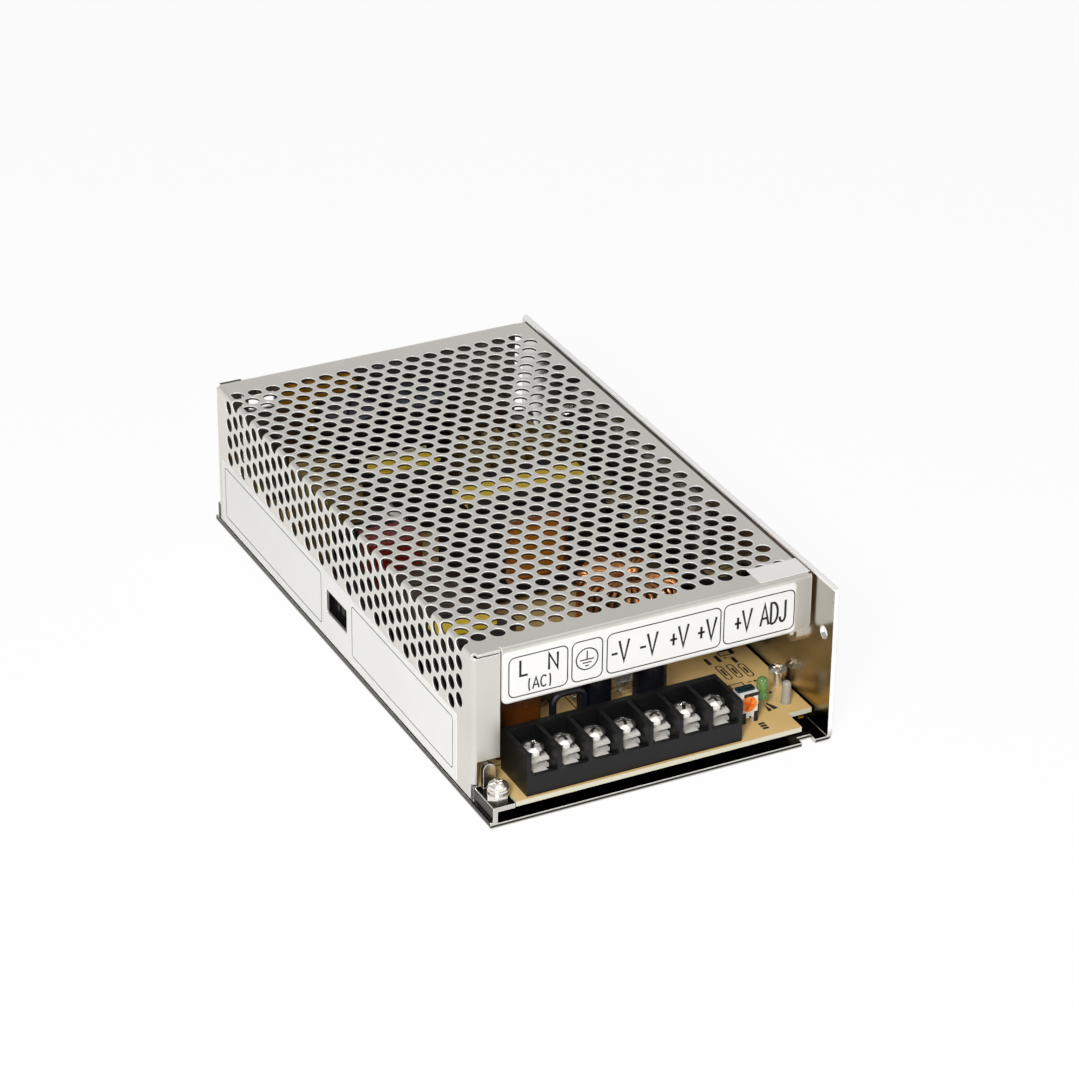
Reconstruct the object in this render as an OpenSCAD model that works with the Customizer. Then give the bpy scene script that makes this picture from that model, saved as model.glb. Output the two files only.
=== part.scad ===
// Enclosed switching power supply: a folded chassis with one tall wall, a perforated cover folded
// from one sheet, a row of barrier terminals at the front and the converter board inside.
// Millimetres. +X is right seen from the terminals, the terminals face -Y, +Z is up, and the
// origin is under the middle of the base.

/* [Case] */
// Overall length of the case, front edge to rear edge
case_l = 199; // [199:1:240]
// Overall width of the case
case_w = 110; // [110:1:134]
// Overall height of the case
case_h = 50; // [50:1:62]
// Thickness of the chassis sheet
chassis_t = 1.5; // [1.2:0.1:1.8]
// Thickness of the cover sheet
cover_t = 0.8; // [0.6:0.1:1.2]
// Inside radius of every sheet bend
bend_r = 0.6; // [0.4:0.1:0.9]
// Gap between sheets that lie against each other
sheet_gap = 0.1; // [0.05:0.05:0.2]

/* [Cover] */
// Setback of the cover's front behind the chassis front
cover_setback = 11.3; // [10:0.1:14]
// Setback of the cover's rear ahead of the chassis rear
cover_rear_gap = 3; // [2:0.1:5]
// Height of the cover's lower edge above the underside
cover_lift = 3; // [2.5:0.1:4]
// Gap between the top sheet and the tall wall
top_gap = 0.9; // [0.5:0.1:1.5]
// Height of the front lip that carries the terminal markings
lip_drop = 18; // [15:0.5:20]
// Width of the narrow flanges at the left corners
flange_w = 8.7; // [7:0.1:10]
// Slit between a flange and the sheet beside it
slit_w = 0.45; // [0.3:0.05:0.8]
// Open slot left at the rear beside the tall wall
rear_slot_w = 4.6; // [4:0.1:20]
// Radius of the lip's lower corners
lip_corner_r = 2; // [1:0.5:3]

/* [Perforation] */
// Diameter of the vent holes
vent_d = 4.5; // [3.6:0.1:4.9]
// Hole pitch along a row, across the case
vent_pitch = 6; // [5.5:0.1:7.2]
// Spacing of the staggered rows along the case
row_pitch = 5.01; // [4.8:0.01:6]
// Plain margin from the cover's front to the first row
vent_front = 8.9; // [7:0.1:14]
// Plain margin behind the last row
vent_rear = 10; // [7:0.1:14]
// Least distance from the top's right edge to a hole centre
vent_right = 5; // [4:0.1:9]
// How far the holes run down the left side
vent_depth = 22.5; // [15:0.5:26]

/* [Chassis details] */
// Height of the ledge that runs under the cover's left side, flush with it
ledge_h = 2.1; // [1.6:0.1:2.4]
// Width of the raised shelf at the front left corner
shelf_w = 6.9; // [6:0.1:8]
// Length of the raised shelf
shelf_l = 12; // [10:0.1:14]
// Width of the hooked ear behind the shelf
ear_w = 3.8; // [3:0.1:5]
// Height of the ear above the shelf
ear_h = 7.6; // [5:0.1:9]
// Diameter of the hole near the front of the tall wall
wall_hole_d = 4; // [3:0.1:5]
// Distance of that hole from the front edge
wall_hole_y = 5; // [4:0.1:7]
// Height of that hole
wall_hole_z = 33.6; // [20:0.1:40]
// Width of the bend relief in the front edge
relief_w = 4.5; // [3:0.1:6]
// Depth of the bend relief
relief_d = 3.2; // [2:0.1:4]

/* [Mounting] */
// Thread diameter of the mounting nuts
mount_d = 4; // [3:0.5:5]
// Spacing of the base nuts along the case
mount_l = 150; // [120:1:160]
// Spacing of the base nuts across the case
mount_w = 50; // [40:1:70]
// Spacing of the two nuts in the tall wall
side_mount_l = 150; // [120:1:160]
// Distance of the front wall nut from the front edge
side_mount_y = 19.5; // [17:0.5:24]
// Height of the wall nuts
side_mount_z = 27.5; // [20:0.5:32]
// Outer diameter of a mounting nut's flange
nut_d = 7.2; // [6.5:0.1:8]
// Length of a nut's flange inside the sheet
nut_h = 2.4; // [2:0.1:3]

/* [Board] */
// Thickness of the circuit board
board_t = 1.6; // [1:0.1:2]
// Space under the circuit board
board_lift = 3.5; // [3:0.1:5]
// Gap round the edge of the board
board_gap = 0.5; // [0.3:0.1:1]
// Width of the notch at the board's front right corner
notch_w = 8; // [6:0.5:10]
// Length of that notch
notch_l = 8.2; // [6:0.1:12]
// Thickness of the insulating film under the board
film_t = 0.3; // [0.2:0.05:0.4]
// Diameter of the board screws
board_screw_d = 3; // [2.5:0.5:4]
// Fit clearance between a screw and its hole, on the radius
screw_fit = 0.05; // [0.02:0.01:0.1]

/* [Terminals] */
// Number of terminals
terminal_n = 7; // [4:1:7]
// Spacing of the terminals
terminal_pitch = 9.6; // [9:0.1:9.9]
// Thickness of the barriers
barrier_t = 1.3; // [1:0.1:1.6]
// Distance of the terminal block's left end from the board's left edge
terminal_x = 9.2; // [8.5:0.1:12]
// Depth of the terminal block, front to back
terminal_depth = 16.6; // [15:0.1:17]
// Height of the barriers above the board
barrier_h = 13.4; // [12:0.1:15]
// Height of the low front wall above the board
sill_h = 6.4; // [5:0.1:7.4]
// Height of the seat of the contact plates above the board
seat_h = 4.8; // [4.5:0.1:5.4]
// Thickness of the contact plates
plate_t = 1; // [0.8:0.1:1.2]
// Thread diameter of the terminal screws
term_screw_d = 3.5; // [3:0.1:4]
// Diameter of the terminal screw heads
term_head_d = 6.6; // [6:0.1:7]
// How far the screws stand open at rest
open_lift = 2; // [1:0.1:2.5]

/* [Adjuster and lamp] */
// Width of the trimmer housing
trimmer_w = 6.6; // [6:0.1:8]
// Height of the trimmer housing
trimmer_h = 10; // [9:0.1:12]
// Diameter of the trimmer's rotor
rotor_d = 4.8; // [4:0.1:5.4]
// Running clearance of the rotor, on the radius
rotor_fit = 0.08; // [0.05:0.01:0.1]
// Diameter of the lamp's body
lamp_d = 3.2; // [2.8:0.1:5]

/* [Voltage selector] */
// Length of the window in the cover's left side
window_l = 14.6; // [12:0.1:18]
// Height of the window
window_h = 7.8; // [6:0.1:9]
// Distance from the case's middle to the window's middle
window_y = 4.8; // [0:0.1:10]
// Height of the window's middle
window_z = 15.9; // [14:0.1:18]
// Length of the selector's slider
slider_l = 6; // [5:0.1:8]
// Travel of the slider
slider_travel = 4.5; // [3:0.1:6]
// Clearance round the slider
slider_fit = 0.15; // [0.1:0.05:0.3]

/* [Magnetics] */
// Width of the main transformer
trafo_w = 42; // [36:0.5:44]
// Depth of the main transformer
trafo_d = 30; // [26:0.5:34]
// Height of the main transformer
trafo_h = 33.4; // [28:0.2:36]
// Outer diameter of the output choke
choke_d = 32; // [28:0.5:32]
// Width of the wound ring of the choke
choke_section = 13; // [11:0.5:14]
// Height of the output choke
choke_h = 21; // [16:0.5:24]

/* [Capacitors] */
// Diameter of the two bulk capacitors
bulk_d = 22; // [18:0.5:22]
// Height of the bulk capacitors
bulk_h = 34; // [28:0.5:36]
// Diameter of the output capacitors
out_cap_d = 12; // [10:0.5:12.5]
// Height of the output capacitors
out_cap_h = 25; // [20:0.5:30]

/* [Hidden] */
$fn = 48;
eps = 0.01;

// Faces of the case; the stickers lie on the cover and reach the overall size
label_t = 0.12;
x_l = -case_w / 2 + label_t;
x_r = case_w / 2;
y_f = -case_l / 2;
y_b = case_l / 2;
cover_top = case_h - label_t;
wall_in = x_r - chassis_t;
lip_out = x_l + cover_t + sheet_gap;
lip_in = lip_out + chassis_t;
chassis_r = bend_r + chassis_t;
cover_r = bend_r + cover_t;
cover_f = y_f + cover_setback;
cover_b = y_b - cover_rear_gap;
cover_in_b = cover_b - cover_t;
cover_right = wall_in - top_gap;
front_lip_x = x_l + flange_w + slit_w / 2;
front_lip_z = cover_top - lip_drop;
flange_x = x_l + flange_w - slit_w / 2;
flange_foot = cover_lift + 5;
flange_top = cover_top - cover_t - slit_w;
rear_panel_x = wall_in - rear_slot_w;

// Board and the levels that hang on it
board_bot = chassis_t + board_lift;
board_top = board_bot + board_t;
ear_in_b = cover_in_b - sheet_gap - chassis_t;
film_b = ear_in_b - sheet_gap;
film_in_b = film_b - film_t;
board_l = lip_in + board_gap;
board_r = wall_in - board_gap;
board_f = y_f + board_gap;
board_b = film_in_b - board_gap;
shelf_x = lip_out + shelf_w;
shelf_y = y_f + shelf_l;
ear_x = lip_out + chassis_r;
ear_top = board_top + ear_h;

// Perforation
row_n = floor((cover_b - vent_rear - cover_f - vent_front) / row_pitch) + 1;
corner_c = cover_r - (bend_r + cover_t / 2) * PI / 4;
window_f = window_y - window_l / 2;

// Fasteners
board_washer_d = 2.2 * board_screw_d;
board_washer_t = 0.6;
board_head_d = 1.85 * board_screw_d;
post_d = board_head_d;
post_in = board_washer_d / 2 + 0.3;
post_at = [[board_r - post_in, board_b - 7], [board_l + post_in, board_b - 7],
           [board_l + post_in, board_f + 68], [board_r - post_d / 2 + 0.4, board_f + 24.2]];
spacer_h = 3.8;
spacer_d = 1.5 * board_screw_d;
function washer_t(k) = k < 3 ? board_washer_t : spacer_h;
function washer_d(k) = k < 3 ? board_washer_d : spacer_d;
support_at = [board_r - 5.3, board_f + 14];
support_d = 2.8;
support_tip = 0.6;
support_h = 6.4;
support_fit = 0.15;
earth_at = [lip_out + chassis_t + 2.15, y_f + 4.4];
earth_d = 3.5;
earth_af = 5.6;
earth_nut_h = 1.6;
earth_washer_t = 0.5;
earth_lock_t = 1;
earth_head_h = 2;
cover_screw_d = 3;
cover_screw_x = [-30, 12];
cover_screw_z = 10;
rear_ear_w = 10;
rear_ear_h = 14;
nut_shank_d = mount_d + 1.6;
base_nut_at = [for (sx = [-1, 1], sy = [-1, 1]) [sx * mount_w / 2, sy * mount_l / 2]];
wall_nut_at = [for (k = [0, 1]) y_f + side_mount_y + k * side_mount_l];
film_clear = 1;
film_x = [-34, -8];
port_x = [front_lip_x + 1.8, film_x[0] - 1.6];
port_z = [cover_top - 11.2, cover_top - 6.2];
film_top = case_h - 4;

// Terminal block
block_w = terminal_n * terminal_pitch + barrier_t;
block_l = board_l + terminal_x;
block_f = board_f + 0.9;
block_b = block_f + terminal_depth;
block_top = board_top + barrier_h;
back_wall_t = 2;
sill_t = 1.4;
seat_z = board_top + seat_h;
plate_top = seat_z + plate_t;
term_y = block_f + 7.6;
plate_w = terminal_pitch - barrier_t - 0.7;
plate_f = block_f + sill_t + 0.5;
plate_fold = 3;
tongue_w = 0.46 * terminal_pitch;
plate_b = block_b - back_wall_t - 0.3;
clamp_t = 0.7;
clamp_w = terminal_pitch - barrier_t - 1.5;
clamp_l = 7.2;
clamp_flat = 4.8;
clamp_drop = 0.2;
collar_d = term_screw_d + 1.3;
collar_h = 0.8;
clamp_bot = plate_top + open_lift;
head_bot = clamp_bot + clamp_drop + clamp_t + collar_h;
term_head_h = 2.4;
well_d = collar_d;
well_floor = board_top + 0.8;
term_shank = head_bot - open_lift - well_floor - 0.2;
function term_x(i) = block_l + barrier_t / 2 + (i - 0.5) * terminal_pitch;

// Voltage selector
slider_h = 5;
slider_reach = 1;
selector_face = board_l + board_gap;
selector_w = 9;
selector_len = 23;
selector_h = window_z - board_top + slider_h / 2 + 3;
slider_depth = 3.4;
slider_y = window_y + slider_travel / 2;

// Places on the board: each is kept from the edge that the piece belongs to
trimmer_at = [block_l + block_w + 6.2, board_f + 10.4];
trimmer_d = 4;
rotor_z = board_top + 6.6;
rotor_depth = 2.4;
rotor_proud = 0.5;
lamp_at = [trimmer_at[0] + 8, board_f + 14.8];
lamp_lift = 3.4;
lamp_h = 6.8;
lead_t = 0.5;
lead_pitch = 2.54;
core_fit = 0.25;
trafo_at = [11, 14];
trafo = [trafo_w, trafo_d, trafo_h];
driver_at = [-7.6, board_b - 34];
driver = [23, 15, 23.2];
line_choke_at = [board_l + 13.5, board_f + 51.5];
line_choke = [19, 18, 29];
band_t = 0.3;
line_cap_at = [board_l + 17, board_f + 25.5];
line_cap = [14, 8, 20];
red_cap_at = [board_l + 19, 14];
red_cap = [17, 11, 26];
bridge_at = [board_l + 20, 30];
bridge = [23, 5.5, 18];
bridge_lift = 3;
bulk_at = [for (k = [0, 1]) [-16.5 + k * (bulk_d + 1), board_b - bulk_d / 2 - 1.5]];
filter_cap_d = 10;
filter_cap_h = 20;
filter_cap_at = [for (x = [-9, 9]) [x, board_f + 26]];
thermal_at = [-17, board_f + 44];
thermal_d = 13;
thermal_t = 4.5;
thermal_lift = 2;
fuse_at = [2, board_f + 40];
fuse_d = 5.2;
fuse_l = 20;
fuse_lift = 4;
clip_w = 6;
clip_t = 0.5;
clip_fit = 0.05;
choke_at = [board_r - 28, board_f + 69.5];
choke_core_w = choke_section - 4;
choke_core_h = choke_h - 4;
choke_r = (choke_d - choke_section) / 2;
choke_gap = 50;
choke_fit = 0.15;
out_cap_at = [for (p = [[6.6, 53], [12.8, 92.5], [13.4, 105.5], [13.4, 118.5]])
    [board_r - p[0], board_f + p[1]]];
spreader_t = 2;
spreader_l = 84;
spreader_y = y_f + 119.5;
spreader_z = [board_top + 5, case_h - 9.5];
spreader_face = wall_in - spreader_t;
transistor = [4.8, 15.6, 20];
transistor_y = [for (k = [-1.5 : 1.5]) spreader_y + k * (spreader_l / 4 + 0.4)];
transistor_z = spreader_z[0] + 1.5;
transistor_leg = [0.6, 1.2];
leg_pitch = 5.45;
spreader_screw_d = 3;
spreader_screw_y = [for (s = [-1, 1]) spreader_y + s * (spreader_l / 2 - 5)];
spreader_screw_z = spreader_z[1] - 3.6;
wire_d = 2.2;
wire_at = [-24.5, board_f + 21.6];
wire_span = 10;
wire_h = 17;
wire_bend = 3.2;

// Labels
lip_label_x = [front_lip_x + 0.3, cover_right - 5.2];
lip_label_z = [front_lip_z + 0.5, cover_top - cover_r - 0.1];
side_label_y = [cover_f + 10.2, cover_b - 3.6];
side_label_z = [cover_lift + 0.4, cover_top - vent_depth - vent_d / 2 + 0.7];
label_window = 0.4;
seal = [16.2, 8.4];
label_corner_r = 1.2;

// Extrusions along the axes: a flat shape drawn in (y, z), (x, z) or (x, y)
module along_x(x0, x1) {
    translate([x0, 0, 0]) rotate([90, 0, 90]) linear_extrude(x1 - x0) children();
}

module along_y(y0, y1) {
    translate([0, y1, 0]) rotate([90, 0, 0]) linear_extrude(y1 - y0) children();
}

module along_z(z0, z1) {
    translate([0, 0, z0]) linear_extrude(z1 - z0) children();
}

module rect(x0, y0, x1, y1) {
    translate([x0, y0]) square([x1 - x0, y1 - y0]);
}

module soft_rect(x0, y0, x1, y1, r) {
    rect(x0 + r, y0, x1 - r, y1);
    rect(x0, y0 + r, x1, y1 - r);
    for (x = [x0 + r, x1 - r], y = [y0 + r, y1 - r]) translate([x, y]) circle(r);
}

// A quarter of a bent sheet's section, from angle a to a + 90
module bend(t, a) {
    rotate(a) intersection() {
        difference() {
            circle(bend_r + t);
            circle(bend_r);
        }
        square(bend_r + t);
    }
}

// A box with rounded upright edges that stands on the board
module on_board(at, size, r, lift = 0) {
    along_z(board_top + lift, board_top + lift + size[2])
        soft_rect(at[0] - size[0] / 2, at[1] - size[1] / 2, at[0] + size[0] / 2, at[1] + size[1] / 2, r);
}

// Pan head with a cross recess, its underside at z = 0
module pan_head(d, h) {
    slot = 0.15 * d;
    difference() {
        rotate_extrude() intersection() {
            rect(0, 0, d / 2, h);
            translate([0, h - 0.85 * d]) circle(0.85 * d);
        }
        for (a = [0, 90]) rotate(a) translate([-0.3 * d, -slot / 2, 0.45 * h]) cube([0.6 * d, slot, h]);
    }
}

module pan_screw(d, head_d, head_h, shank) {
    pan_head(head_d, head_h);
    translate([0, 0, -shank]) cylinder(d = d, h = shank + 0.4 * head_h);
}

module ring(d_out, d_in, h) {
    difference() {
        cylinder(d = d_out, h = h);
        translate([0, 0, -eps]) cylinder(d = d_in, h = h + 2 * eps);
    }
}

// Radial capacitor: a sleeved can with a rolled groove near its foot and a rim round its top
module can_capacitor(d, h) {
    groove = 0.05 * d;
    rotate_extrude() difference() {
        rect(0, 0, d / 2, h);
        translate([d / 2 + groove * 0.5, 0.14 * h]) circle(groove);
        rect(-eps, h - 0.5, d / 2 - 0.09 * d, h + eps);
    }
}

// Ferrite frame with a centre limb along Y: two yokes across X, joined by the outer legs and the
// limb. size is the wound part's own overall size, and the core is a little lower than it.
module ferrite(at, size) {
    z0 = board_top + 0.09 * size[2];
    h = 0.84 * size[2];
    yoke = 0.32 * size[1];
    leg = 0.15 * size[0];
    limb = 0.28 * size[0];
    limb_h = 0.36 * size[2];
    translate([at[0], at[1], z0]) {
        for (s = [-1, 1]) {
            translate([-size[0] / 2, s * (size[1] - yoke) / 2 - yoke / 2, 0]) cube([size[0], yoke, h]);
            translate([s * (size[0] - leg) / 2 - leg / 2, -size[1] / 2, 0]) cube([leg, size[1], h]);
        }
        translate([-limb / 2, -size[1] / 2, (h - limb_h) / 2]) cube([limb, size[1], limb_h]);
    }
}

// The winding round that limb, standing on the board between the yokes and bearing the limb
module winding(at, size) {
    z0 = board_top + 0.09 * size[2];
    h = 0.84 * size[2];
    yoke = 0.32 * size[1];
    half_w = 0.35 * size[0] - core_fit;
    half_d = size[1] / 2 - yoke - core_fit;
    limb = 0.28 * size[0] + 2 * core_fit;
    limb_h = 0.36 * size[2];
    translate([at[0], 0, 0]) along_y(at[1] - half_d, at[1] + half_d) difference() {
        union() {
            rect(-half_w, board_top, half_w, board_top + size[2] - 0.5);
            soft_rect(-size[0] / 2, z0 + h + core_fit, size[0] / 2, board_top + size[2], 0.6);
        }
        rect(-limb / 2, z0 + (h - limb_h) / 2, limb / 2, z0 + (h + limb_h) / 2 + core_fit);
    }
}

module chassis() {
    color([0.78, 0.79, 0.8]) difference() {
        union() {
            along_y(y_f, y_b) {
                rect(x_l + bend_r, 0, x_r - chassis_r, chassis_t);
                translate([x_r - chassis_r, chassis_r]) bend(chassis_t, 270);
                rect(wall_in, chassis_r, x_r, case_h);
                rect(x_l, bend_r, lip_in, ledge_h);
                translate([x_l + bend_r, bend_r]) circle(bend_r);
            }
            along_y(shelf_y + slit_w, y_b) rect(lip_out, chassis_t / 2, lip_in, board_top);
            along_y(y_f, shelf_y) {
                rect(lip_out, chassis_t / 2, lip_in, board_top - bend_r);
                rect(lip_out + bend_r, board_top - chassis_t, shelf_x, board_top);
                translate([lip_out + bend_r, board_top - bend_r]) circle(bend_r);
            }
            along_y(shelf_y - chassis_t, shelf_y) {
                rect(ear_x, board_top - chassis_t, ear_x + ear_w, ear_top - ear_w / 2);
                translate([ear_x + ear_w / 2, ear_top - ear_w / 2]) circle(d = ear_w);
            }
            along_y(ear_in_b, ear_in_b + chassis_t) for (x = cover_screw_x) {
                rect(x - rear_ear_w / 2, chassis_t / 2, x + rear_ear_w / 2, rear_ear_h / 2);
                soft_rect(x - rear_ear_w / 2, chassis_t, x + rear_ear_w / 2, rear_ear_h, 2);
            }
        }
        translate([board_r - notch_w, y_f - eps, -eps]) cube([relief_w, relief_d, chassis_t + 2 * eps]);
        for (p = base_nut_at) translate([p[0], p[1], -eps])
            cylinder(d = nut_shank_d, h = chassis_t + 2 * eps);
        for (y = wall_nut_at) translate([wall_in - eps, y, side_mount_z]) rotate([0, 90, 0])
            cylinder(d = nut_shank_d, h = chassis_t + 2 * eps);
        translate([wall_in - eps, y_f + wall_hole_y, wall_hole_z]) rotate([0, 90, 0])
            cylinder(d = wall_hole_d, h = chassis_t + 2 * eps);
        for (y = spreader_screw_y) translate([wall_in - eps, y, spreader_screw_z]) rotate([0, 90, 0])
            cylinder(d = spreader_screw_d + 2 * screw_fit, h = chassis_t + 2 * eps);
        translate([earth_at[0], earth_at[1], board_top - chassis_t - eps])
            cylinder(d = earth_d + 2 * screw_fit, h = chassis_t + 2 * eps);
        for (x = cover_screw_x) translate([x, ear_in_b - eps, cover_screw_z]) rotate([-90, 0, 0])
            cylinder(d = cover_screw_d + 2 * screw_fit, h = chassis_t + 2 * eps);
    }
}

// The vent holes of one row, measured from the corner bend: every other row, beginning with the
// first, has a hole across the bend, and the rows between start half a pitch from it
function row_y(j) = cover_f + vent_front + j * row_pitch;
function row_start(j) = j % 2 == 0 ? vent_pitch : vent_pitch / 2;
function top_vents(j) = [for (x = [x_l + row_start(j) : vent_pitch : cover_right - vent_right]) x];
function side_vents(j) = [for (d = [row_start(j) + bend_r : vent_pitch : vent_depth]) cover_top - d];

module top_sheet() {
    difference() {
        union() {
            rect(x_l + cover_r, cover_f + cover_r, cover_right, cover_b - cover_r);
            rect(x_l + cover_r, cover_f, flange_x, cover_f + cover_r);
            rect(x_l + cover_r, cover_b - cover_r, flange_x, cover_b);
        }
        for (j = [0 : row_n - 1]) {
            for (x = top_vents(j)) translate([x, row_y(j)]) circle(d = vent_d);
            if (j % 2 == 0) translate([x_l + corner_c, row_y(j)]) circle(d = vent_d);
        }
    }
}

module side_sheet() {
    difference() {
        rect(cover_f + cover_r, cover_lift, cover_b - cover_r, cover_top - cover_r);
        for (j = [0 : row_n - 1]) {
            for (z = side_vents(j)) translate([row_y(j), z]) circle(d = vent_d);
            if (j % 2 == 0) translate([row_y(j), cover_top - corner_c]) circle(d = vent_d);
        }
        rect(window_f, window_z - window_h / 2, window_f + window_l, window_z + window_h / 2);
    }
}

module corner_bend() {
    difference() {
        along_y(cover_f + cover_r, cover_b - cover_r)
            translate([x_l + cover_r, cover_top - cover_r]) bend(cover_t, 90);
        for (j = [0 : 2 : row_n - 1])
            translate([x_l + cover_r, row_y(j), cover_top - cover_r]) rotate([0, -45, 0])
                cylinder(d = vent_d, h = 2 * cover_r);
    }
}

// A narrow flange at a left corner: it is folded from the side sheet and stops short of the top
module left_flange(foot) {
    along_z(flange_foot, flange_top) translate([x_l + cover_r, cover_f + cover_r]) bend(cover_t, 180);
    along_y(cover_f, cover_f + cover_t) rect(x_l + cover_r, foot, flange_x, flange_top);
}

// A broad flange folded down from the top, its lower corners rounded
module top_flange(x0, x1, foot) {
    soft_rect(x0, foot, x1, foot + 3 * lip_corner_r, lip_corner_r);
    rect(x0, foot + lip_corner_r, x1, cover_top - cover_r);
}

module cover() {
    color([0.8, 0.8, 0.78]) {
        along_z(cover_top - cover_t, cover_top) top_sheet();
        along_x(x_l, x_l + cover_t) side_sheet();
        corner_bend();
        left_flange(ear_top + 1);
        translate([0, cover_f + cover_b, 0]) mirror([0, 1, 0]) left_flange(flange_foot);
        along_x(front_lip_x, cover_right)
            translate([cover_f + cover_r, cover_top - cover_r]) bend(cover_t, 90);
        along_y(cover_f, cover_f + cover_t) top_flange(front_lip_x, cover_right, front_lip_z);
        along_x(front_lip_x, rear_panel_x)
            translate([cover_b - cover_r, cover_top - cover_r]) bend(cover_t, 0);
        along_y(cover_in_b, cover_b) difference() {
            top_flange(front_lip_x, rear_panel_x, cover_lift);
            rect(port_x[0], port_z[0], port_x[1], port_z[1]);
            for (x = cover_screw_x) translate([x, cover_screw_z]) circle(d = cover_screw_d + 2 * screw_fit);
        }
    }
}

module terminal_label() {
    color("white") along_y(cover_f - label_t, cover_f)
        soft_rect(lip_label_x[0], lip_label_z[0], lip_label_x[1], lip_label_z[1], label_corner_r);
}

module side_label() {
    color("whitesmoke") along_x(x_l - label_t, x_l) difference() {
        soft_rect(side_label_y[0], side_label_z[0], side_label_y[1], side_label_z[1], label_corner_r);
        rect(window_f - label_window, window_z - window_h / 2 - label_window,
             window_f + window_l + label_window, window_z + window_h / 2 + label_window);
    }
}

module seal_sticker() {
    color("white") along_z(cover_top, cover_top + label_t)
        rect(cover_right - seal[0], cover_f + cover_r, cover_right, cover_f + cover_r + seal[1]);
}

module insulation_film() {
    color([0.85, 0.6, 0.15, 0.7]) {
        along_z(chassis_t, chassis_t + film_t) difference() {
            rect(lip_in + 2 * board_gap, y_f + shelf_l, wall_in - 2 * board_gap, film_b);
            for (p = post_at) translate(p) circle(d = post_d + 2 * film_clear);
            for (p = base_nut_at) translate(p) circle(d = nut_d + 2 * film_clear);
            translate(support_at) circle(d = 2 * support_d + 2 * film_clear);
        }
        along_y(film_in_b, film_b) rect(film_x[0], chassis_t, film_x[1], film_top);
    }
}

module circuit_board() {
    color([0.78, 0.6, 0.36]) along_z(board_bot, board_top) difference() {
        rect(board_l, board_f, board_r, board_b);
        rect(board_r - notch_w, board_f - eps, board_r + eps, board_f + notch_l);
        rect(board_l - eps, board_f - eps, shelf_x + board_gap, shelf_y + board_gap);
        for (p = post_at) translate(p) circle(d = board_screw_d + 4 * screw_fit);
        translate(support_at) circle(d = support_d + 2 * support_fit);
    }
}

module board_posts() {
    color("silver") for (k = [0 : 3]) translate([post_at[k][0], post_at[k][1], chassis_t])
        ring(k < 3 ? post_d : spacer_d, board_screw_d + 2 * screw_fit, board_lift);
}

module board_screws() {
    color("silver") for (k = [0 : 3]) translate([post_at[k][0], post_at[k][1], board_top + washer_t(k)])
        pan_screw(board_screw_d, board_head_d, 0.75 * board_screw_d,
                  washer_t(k) + board_t + 0.8 * board_lift);
}

module board_washers() {
    color("silver") for (k = [0 : 3]) translate([post_at[k][0], post_at[k][1], board_top])
        ring(washer_d(k), board_screw_d + 4 * screw_fit, washer_t(k));
}

module board_support() {
    color("white") translate([support_at[0], support_at[1], chassis_t]) {
        cylinder(d = 2 * support_d, h = board_lift);
        cylinder(d = support_d, h = board_lift + board_t + 0.4 * support_h);
        translate([0, 0, board_lift + board_t + 0.4 * support_h])
            cylinder(d1 = support_d, d2 = support_tip * support_d, h = 0.6 * support_h);
        translate([0, 0, board_lift + board_t + support_h]) sphere(d = support_tip * support_d);
    }
}

module earth_nut() {
    color("silver") translate([earth_at[0], earth_at[1], board_top]) difference() {
        cylinder(d = earth_af / cos(30), h = earth_nut_h, $fn = 6);
        translate([0, 0, -eps]) cylinder(d = earth_d + 2 * screw_fit, h = earth_nut_h + 2 * eps);
    }
}

module earth_washer() {
    color("silver") translate([earth_at[0], earth_at[1], board_top + earth_nut_h]) {
        ring(earth_af + 0.6, earth_d + 4 * screw_fit, earth_washer_t);
        translate([0, 0, earth_washer_t]) difference() {
            ring(earth_af - 0.7, earth_d + 4 * screw_fit, earth_lock_t);
            rotate([20, 0, -70]) translate([0, -0.3, -earth_lock_t]) cube([earth_af, 0.6, 4 * earth_lock_t]);
        }
        translate([0, 0, earth_washer_t + earth_lock_t])
            ring(earth_af + 0.6, earth_d + 4 * screw_fit, earth_washer_t);
    }
}

module earth_screw() {
    stack = earth_nut_h + 2 * earth_washer_t + earth_lock_t;
    color("silver") translate([earth_at[0], earth_at[1], board_top + stack])
        rotate(25) pan_screw(earth_d, earth_af, earth_head_h, stack + chassis_t + 1.2);
}

module cover_screws() {
    color("silver") for (x = cover_screw_x) translate([x, cover_b, cover_screw_z]) rotate([-90, 0, 0])
        pan_screw(cover_screw_d, 1.8 * cover_screw_d, 0.6 * cover_screw_d, cover_t + sheet_gap + chassis_t);
}

// Clinched nut: the shank fills the sheet and the flange stands inside it, from z = 0 at the
// sheet's outer face
module clinch_nut() {
    difference() {
        union() {
            cylinder(d = nut_shank_d - 2 * screw_fit, h = chassis_t + nut_h);
            translate([0, 0, chassis_t]) cylinder(d = nut_d, h = nut_h);
        }
        translate([0, 0, -eps]) cylinder(d = mount_d, h = chassis_t + nut_h + 2 * eps);
    }
}

module mount_nuts() {
    color("silver") {
        for (p = base_nut_at) translate([p[0], p[1], 0]) clinch_nut();
        for (y = wall_nut_at) translate([x_r, y, side_mount_z]) rotate([0, -90, 0]) clinch_nut();
    }
}

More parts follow.
